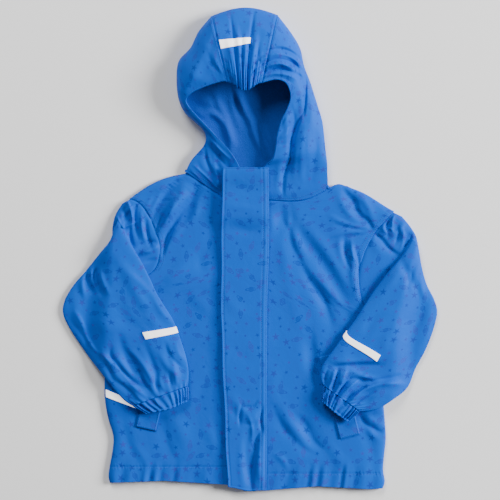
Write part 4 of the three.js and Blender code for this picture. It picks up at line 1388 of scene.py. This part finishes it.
def hood_centre(t, c):
    top = np.minimum(t / OVER, 1)
    over = t < OVER
    u_edge = np.where(over, 1.0, (1 - t) / (1 - OVER))
    v_edge = np.where(over, t / OVER, 1.0)
    right, left = (hood_side(side, u_edge, v_edge, 0) for side in (HOOD_RIGHT, HOOD_LEFT))
    p = right + (left - right) * c[..., None]
    arch = np.sin(math.pi * c)
    p[..., 1] += arch * CROWN_BULGE * smooth(0.35, 0.72, top) * (1 - smooth(OVER, OVER + 0.1, t))
    p[..., 1] -= arch**2 * BRIM_SAG * (1 - smooth(0, 0.3, top))
    near = 1 - smooth(0, 0.62, top)
    folds = 3 * near * arch
    for at, width, reach, rise in zip(*BRIM_FOLDS.values()):
        fan = FAN_MIDDLE + (at - FAN_MIDDLE) * (0.78 + 0.72 * top)
        fades = 1 - smooth(0.25 * reach, 0.62 * reach, top)
        folds = folds + rise * fades * bell(c - fan, width)
    short = 0.5 * np.cos(2 * math.pi * 17 * c + 1.6 * np.sin(9 * c)) * (1 - smooth(0.05, 0.2, top))
    roll = 2.2 * bell(top - 0.1, 0.09) - 2.5 * bell(top, 0.035)
    ends = np.minimum(1, 7 * np.minimum(c, 1 - c))
    more = hood_creases(p[..., 0], p[..., 1], away_from_rim(top))
    p[..., 2] += np.where(over, ends * (folds + short + roll) + more, 0)
    return p


print(len(BRIM_FOLDS["c"]), "folds fan out from the brim")

# %% [markdown]
# At the seams the panels bend down to each other, as sewn cloth does. From the brim to the crown
# the centre panel's edges tuck in under the sides, so that the seam shows as a fine line and not as
# a gap. One mesh for the whole hood would close too, but its panels couldn't be laid out flat.

# %% Make the hood
u, v = grid(170, 110)
u = u**1.25
SEAM_DIP, SHORT_OF_SEAM = 0.8, 0.998


def dipped_side(sections, u, v):
    """A side panel whose last 4 mm bend down to the seam with the centre panel."""
    p = hood_side(sections, u * SHORT_OF_SEAM, v)
    p[..., 2] -= SEAM_DIP * smooth(0.984, 1, u) * (1 - smooth(0.9 * TURN, TURN, v))
    return p


def right_hood(u, v):
    return dipped_side(HOOD_RIGHT, u, v)


def left_hood(u, v):
    return dipped_side(HOOD_LEFT, u, v)


pieces["hood_right"] = make_wall("hood_right", [right_hood(u, 1 - v)], shell)
pieces["hood_left"] = make_wall("hood_left", [left_hood(u, v)], shell)
u, v = grid(165, 132)
tucked = 1 - smooth(0.8, 0.98, np.minimum(u / OVER, 1))
inset_by = lerp(0.018, -0.012, tucked)
c = lerp(inset_by, 1 - inset_by, v)
p = hood_centre(u, c)
p[..., 2] -= tucked * (SEAM_DIP + 0.5) * (1 - smooth(0, 0.035, np.minimum(c, 1 - c)))
pieces["hood_centre"] = make_wall("hood_centre", [p], shell)
for name in ("hood_right", "hood_left"):
    declare(pieces[name], name)
declare(pieces["hood_centre"], "hood_centre")

# %% [markdown]
# The fleece lining of the hood is a sheet of its own, because it shows. It hangs in soft folds
# over the floor of the hood, with its centre seam along one of them. It could be the inner face of
# the panels, but real lining hangs away from them.

# %% Lining of the hood
FLEECE = 1.6
LINING_GAP = 1.6
PANEL_THICK = 2.2
LINING_ROUND = 9
LINING_FLOOR = 5.4
LINING_FOLDS = table(
    "x1 y1 x2 y2 bow width rise lean power",
    [
        [-22, 244, 2, 190, 2, 5, 6, -0.35, 1.6],
        [0, 196, 22, 140, 2, 5, 6, -0.35, 1.6],
        [-10, 242, 14, 186, 2, 5, -2, 0, 2],
        [14, 190, 34, 140, 2, 4, -2, 0, 2],
        [22, 184, 38, 150, 0, 3, 2.4, 0, 1.7],
        [-84, 208, -58, 206, 3, 6, 3.6, 0, 1.8],
        [-62, 207, -34, 182, -4, 5, 5, -0.3, 1.6],
        [-40, 188, -28, 146, -3, 5, 4.6, -0.3, 1.6],
        [-54, 236, -34, 196, 2, 4.5, 3, -0.3, 1.6],
        [-36, 198, -22, 156, 2, 4, 3.4, -0.3, 1.6],
        [-80, 228, -52, 218, 0, 7, 3, 0, 2],
        [-30, 230, -14, 180, 2, 4, 2, 0, 1.8],
    ],
)


def lining_side(sections, u, a):
    s = read(sections, u)
    inset = PANEL_THICK + LINING_GAP
    reach = np.hypot(s["ox"] - s["rx"], s["oy"] - s["ry"])
    share = np.sin(math.pi / 2 * a) * (1 - (inset + 5) / reach)
    puff = (1 - share**2.4) ** 0.55
    x, y = lerp(s["rx"], s["ox"], share), lerp(s["ry"], s["oy"], share)
    folds = fold_height(HOOD_FOLDS, x, y) * np.minimum(1, 3 * share) * np.minimum(1, 3 * (1 - share))
    high = s["oz"] + (s["rz"] - s["oz"]) * puff + np.minimum(folds, 0) - inset - 0.6
    return points(x, y, lerp(high, s["oz"] * 0.64, smooth(0.72, 1, a)))


def lining_face(t, v):
    u = lerp(0.03, 0.965, t)
    bend = 0.3
    one = np.ones_like(u)
    right, left = lining_side(HOOD_RIGHT, u, one), lining_side(HOOD_LEFT, u, one)
    c = np.clip((v - bend) / (1 - 2 * bend), 0, 1)
    p = right + (left - right) * c[..., None]
    edge = quarter(np.minimum(c, 1 - c) * np.linalg.norm(left - right, axis=-1), LINING_ROUND)
    floor_z = PANEL_THICK + LINING_GAP + FLEECE + fold_height(LINING_FOLDS, p[..., 0], p[..., 1])
    floor_z = floor_z + 0.5 * rumple(p[..., 0], p[..., 1], 40, 31) + 0.5
    p[..., 2] = lerp(p[..., 2], np.maximum(floor_z, LINING_FLOOR), edge)
    up_right = lining_side(HOOD_RIGHT, u, np.clip(v / bend, 0, 1))
    up_left = lining_side(HOOD_LEFT, u, np.clip((1 - v) / bend, 0, 1))
    p = np.where((v < bend)[..., None], up_right, p)
    return np.where((v > 1 - bend)[..., None], up_left, p)


u, v = grid(104, 140)
pieces["hood_lining"] = make_wall("hood_lining", [lining_face(u, v)], fleece, thick=FLEECE, side=-1)
declare(pieces["hood_lining"], "hood_lining")

# %% [markdown]
# ## Tapes and stitches
# A reflective tape is a narrow strip that follows the cloth under it. It is made from the points
# of that cloth, moved out along the normals. A Shrinkwrap modifier could lay it there too, but the
# face of the cloth is known as a function, which is exact. Such tape is pressed on with heat, so
# it has no stitches.

# %% Reflective tapes
TAPE = 0.9
STEP = 0.002


def on_face(face, u, v, lift):
    du, dv = face(u + STEP, v) - face(u - STEP, v), face(u, v + STEP) - face(u, v - STEP)
    n = np.cross(dv, du)
    n /= np.maximum(np.linalg.norm(n, axis=-1, keepdims=True), 1e-9)
    n *= np.where(n[..., 2:3] < 0, -1, 1)
    return face(u, v) + n * lift


def patch(corners, s, t):
    a, b, c, d = (np.array(k, float) for k in corners)
    top, low = a + (b - a) * t[..., None], d + (c - d) * t[..., None]
    at = top + (low - top) * s[..., None]
    return at[..., 0], at[..., 1]


def right_arm(u, v):
    return arm_face(RIGHT_ARM, u, v)


def left_arm(u, v):
    return arm_face(LEFT_ARM, u, v)


TAPES = {
    "hood": [(0.131, 0.035), (0.139, 0.607), (0.118, 0.6), (0.1, 0.035)],
    "sleeve_right": [(0.6, 0.305), (0.585, 0.485), (0.621, 0.485), (0.638, 0.305)],
    "sleeve_left": [(0.625, 0.236), (0.482, 0.485), (0.516, 0.485), (0.661, 0.236)],
    "side": [(0.368, 0.012), (0.337, 0.22), (0.318, 0.22), (0.349, 0.012)],
}
TAPED = {
    "hood": (hood_centre, "hood_centre"),
    "sleeve_right": (right_arm, "sleeve_right"),
    "sleeve_left": (left_arm, "sleeve_left"),
    "side": (right_front, "front_right"),
}
s, t = grid(10, 60)
for name, corners in TAPES.items():
    face, host = TAPED[name]
    p = on_face(face, *patch(corners, s, t), GAP + TAPE)
    full = "tape_" + name
    upward = normals(p)[..., 2].mean() > 0
    pieces[full] = make_wall(full, [p if upward else p[:, ::-1]], tape, thick=TAPE)
    declare(pieces[full], full)

# %% [markdown]
# Topstitching is thread in rows of short stitches. A group of geometry nodes walks along a line,
# puts one stitch on each step and turns it to the line, so that any seam needs only its path. A
# stitch is a small round bead of thread, because that is all that can be seen of it.

# %% The stitch row, as geometry nodes
stitcher = bpy.data.node_groups.new("Stitch row", "GeometryNodeTree")
for name, kind, value in (
    ("Path", "NodeSocketGeometry", None),
    ("Pitch", "NodeSocketFloat", 0.003),
    ("Stitch length", "NodeSocketFloat", 0.0022),
    ("Thread radius", "NodeSocketFloat", 0.00032),
    ("Thread", "NodeSocketMaterial", None),
):
    socket = stitcher.interface.new_socket(name, in_out="INPUT", socket_type=kind)
    if value is not None:
        socket.default_value = value
stitcher.interface.new_socket("Stitches", in_out="OUTPUT", socket_type="NodeSocketGeometry")
g = Wiring(stitcher)
given = g.add("NodeGroupInput")
line = g.add("GeometryNodeMeshToCurve", {0: given.outputs["Path"]})
steps = g.add(
    "GeometryNodeCurveToPoints",
    {"Curve": line.outputs[0], "Length": given.outputs["Pitch"]},
    mode="LENGTH",
)
bead = g.add("GeometryNodeMeshUVSphere", {"Segments": 6, "Rings": 4, "Radius": 1.0})
half = g.add("ShaderNodeMath", {0: given.outputs["Stitch length"], 1: 0.5}, operation="MULTIPLY")
thin = given.outputs["Thread radius"]
size = g.add("ShaderNodeCombineXYZ", {0: thin, 1: thin, 2: half.outputs[0]})
placed = g.add(
    "GeometryNodeInstanceOnPoints",
    {
        "Points": steps.outputs["Points"],
        "Instance": bead.outputs["Mesh"],
        "Rotation": steps.outputs["Rotation"],
        "Scale": size.outputs[0],
    },
)
real = g.add("GeometryNodeRealizeInstances", {0: placed.outputs[0]})
smoothed = g.add("GeometryNodeSetShadeSmooth", {0: real.outputs[0]})
coloured = g.add(
    "GeometryNodeSetMaterial",
    {"Geometry": smoothed.outputs[0], "Material": given.outputs["Thread"]},
)
g.add("NodeGroupOutput", {0: coloured.outputs[0]})
print("stitch group made of", len(stitcher.nodes), "nodes")

# %% Rows of stitches along faces
STITCH_LIFT = 0.12


def stitch_rows(name, host, rows):
    """rows is a list of lines of points, in millimetres, on the cloth of host."""
    verts, edges = [], []
    for line in rows:
        start = len(verts)
        verts += (line * MM).tolist()
        edges += [(start + k, start + k + 1) for k in range(len(line) - 1)]
    mesh = bpy.data.meshes.new(name + "_path")
    mesh.from_pydata(verts, edges, [])
    piece = bpy.data.objects.new(name, mesh)
    bpy.context.scene.collection.objects.link(piece)
    modifier = piece.modifiers.new("Stitch row", "NODES")
    modifier.node_group = stitcher
    for item in stitcher.interface.items_tree:
        if item.in_out == "INPUT" and item.name == "Thread":
            modifier[item.identifier] = thread
    depsgraph = bpy.context.evaluated_depsgraph_get()
    depsgraph.update()
    made = bpy.data.meshes.new_from_object(piece.evaluated_get(depsgraph))
    piece.modifiers.remove(modifier)
    piece.data = made
    made.name = name
    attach(piece, "root")
    print(f"{name}: {len(made.polygons)} faces on {host}")
    return piece


def along(face, u, v):
    """A line on a face from u and v, each a number or a pair of ends."""
    ends = [(k, k) if np.isscalar(k) else k for k in (u, v)]
    uu, vv = (np.linspace(a, b, 400) for a, b in ends)
    return on_face(face, uu, vv, STITCH_LIFT)


def inset(face, u, distance, start=0.0):
    """A line that keeps a distance from the edge of a face at v = start."""
    uu = np.linspace(*u, 400)
    vv = np.full_like(uu, start)
    sign = 1 if start < 0.5 else -1
    for _ in range(12):
        gone = np.linalg.norm(face(uu, vv) - face(uu, np.full_like(uu, start)), axis=-1)
        speed = np.linalg.norm(face(uu, vv + sign * STEP) - face(uu, vv), axis=-1) / STEP
        vv = np.clip(vv + sign * np.clip((distance - gone) / np.maximum(speed, 1e-3), -0.1, 0.1), 0, 1)
    return on_face(face, uu, vv, STITCH_LIFT)


print("a stitch lies", STITCH_LIFT, "mm off the cloth")

# %% [markdown]
# The fronts have a row along the hem and two beside each armhole. The flap has two rows at its sewn
# edge, one along the free edge and one at the top. They stand in the dips that the cloth has there.

# %% Stitches of the fronts and the storm flap
body_rows = []
for face in (right_front, left_front):
    body_rows += [along(face, 0.104 if face is right_front else 0.098, (0.02, 0.99))]
    body_rows += [inset(face, (0.70, 0.99), 2.2), inset(face, (0.70, 0.99), 7.5)]
stitch_rows("stitches_fronts", "the fronts", body_rows)
flap_rows = [inset(flap_face, (0.004, 0.996), row, start=1.0) for row in SEWN_ROWS]
flap_rows += [inset(flap_face, (0.008, 0.992), FREE_ROW), along(flap_face, 0.992, (0.055, 0.88))]
stitch_rows("stitches_flap", "the storm flap", flap_rows)

# %% [markdown]
# On the hood two rows hold the binding at the neck, one runs down the rim, and the others keep the
# panels' seams flat. The sleeves are stitched at the casings, and the welts along their edges.

# %% Stitches of the hood, the sleeves and the welts
hood_rows = []
for face in (right_hood, left_hood):
    near = (0.012, 0.034) if face is left_hood else (0.03, 0.03)
    hood_rows += [along(face, 0.009, (0.02, 0.66)), along(face, near, (0.02, 0.66))]
    hood_rows += [inset(face, (0.2, 0.97), 1.8), along(face, 0.985, (0.03, 0.66))]
hood_rows += [along(hood_centre, (0.02, 0.4), k) for k in (0.045, 0.955)]
stitch_rows("stitches_hood", "the hood", hood_rows)
sleeve_rows = []
for arm in (right_arm, left_arm):
    sleeve_rows += [along(arm, 0.993, (0.01, 0.49)), along(arm, 0.975, (0.01, 0.49))]
stitch_rows("stitches_sleeves", "the sleeves", sleeve_rows)
welt_rows = []
for side in POCKETS:
    face = welt_face(side)
    welt_rows += [along(face, (0.02, 0.98), k) for k in (0.07, 0.93)] + [along(face, 0.02, (0.07, 0.93))]
stitch_rows("stitches_welts", "the pocket welts", welt_rows)

# %% [markdown]
# ## Stage
# The coat is seen from straight above through a long lens, on a plain pale floor. The main light is
# large and soft and comes from the right and a little from the top, as the shading of the folds
# shows. A light room alone would be simpler, but it would flatten the folds.

# %% Floor and room
floor_mesh = bpy.data.meshes.new("floor")
floor_mesh.from_pydata([(-6, -6, 0), (6, -6, 0), (6, 6, 0), (-6, 6, 0)], [], [(0, 1, 2, 3)])
floor = bpy.data.objects.new("floor", floor_mesh)
bpy.context.scene.collection.objects.link(floor)
floor.location.z = -0.0004
paper, w, shader, uv = material("Pale floor", 0.9)
w.feed(shader, {"Base Color": (0.9, 0.9, 0.9, 1)})
floor_mesh.materials.append(paper)

world = bpy.context.scene.world or bpy.data.worlds.new("Soft room")
bpy.context.scene.world = world
world.use_nodes = True
world.node_tree.nodes["Background"].inputs[0].default_value = (1, 1, 1, 1)
world.node_tree.nodes["Background"].inputs[1].default_value = 0.2
print("room ready")

# %% Lights and camera


def area_light(name, at, size, power):
    data = bpy.data.lights.new(name, "AREA")
    data.shape, data.size, data.size_y, data.energy = "RECTANGLE", size[0], size[1], power
    lamp = bpy.data.objects.new(name, data)
    lamp.location = at
    lamp.rotation_mode = "QUATERNION"
    lamp.rotation_quaternion = (-Vector(at)).to_track_quat("-Z", "Y")
    bpy.context.scene.collection.objects.link(lamp)


area_light("key", (4.5, 0.9, 2.3), (2, 2), 590)
area_light("top", (-1.2, 3.2, 2.6), (1.8, 1.8), 140)
CAMERA_HEIGHT = 6.0
SEEN = 0.75
camera_data = bpy.data.cameras.new("camera")
camera_data.sensor_width = 36
camera_data.lens = 36 * CAMERA_HEIGHT / SEEN
camera = bpy.data.objects.new("camera", camera_data)
camera.location = (0, 0, CAMERA_HEIGHT)
bpy.context.scene.collection.objects.link(camera)
bpy.context.scene.camera = camera
print("camera", CAMERA_HEIGHT, "m above, over a square of", SEEN, "m")
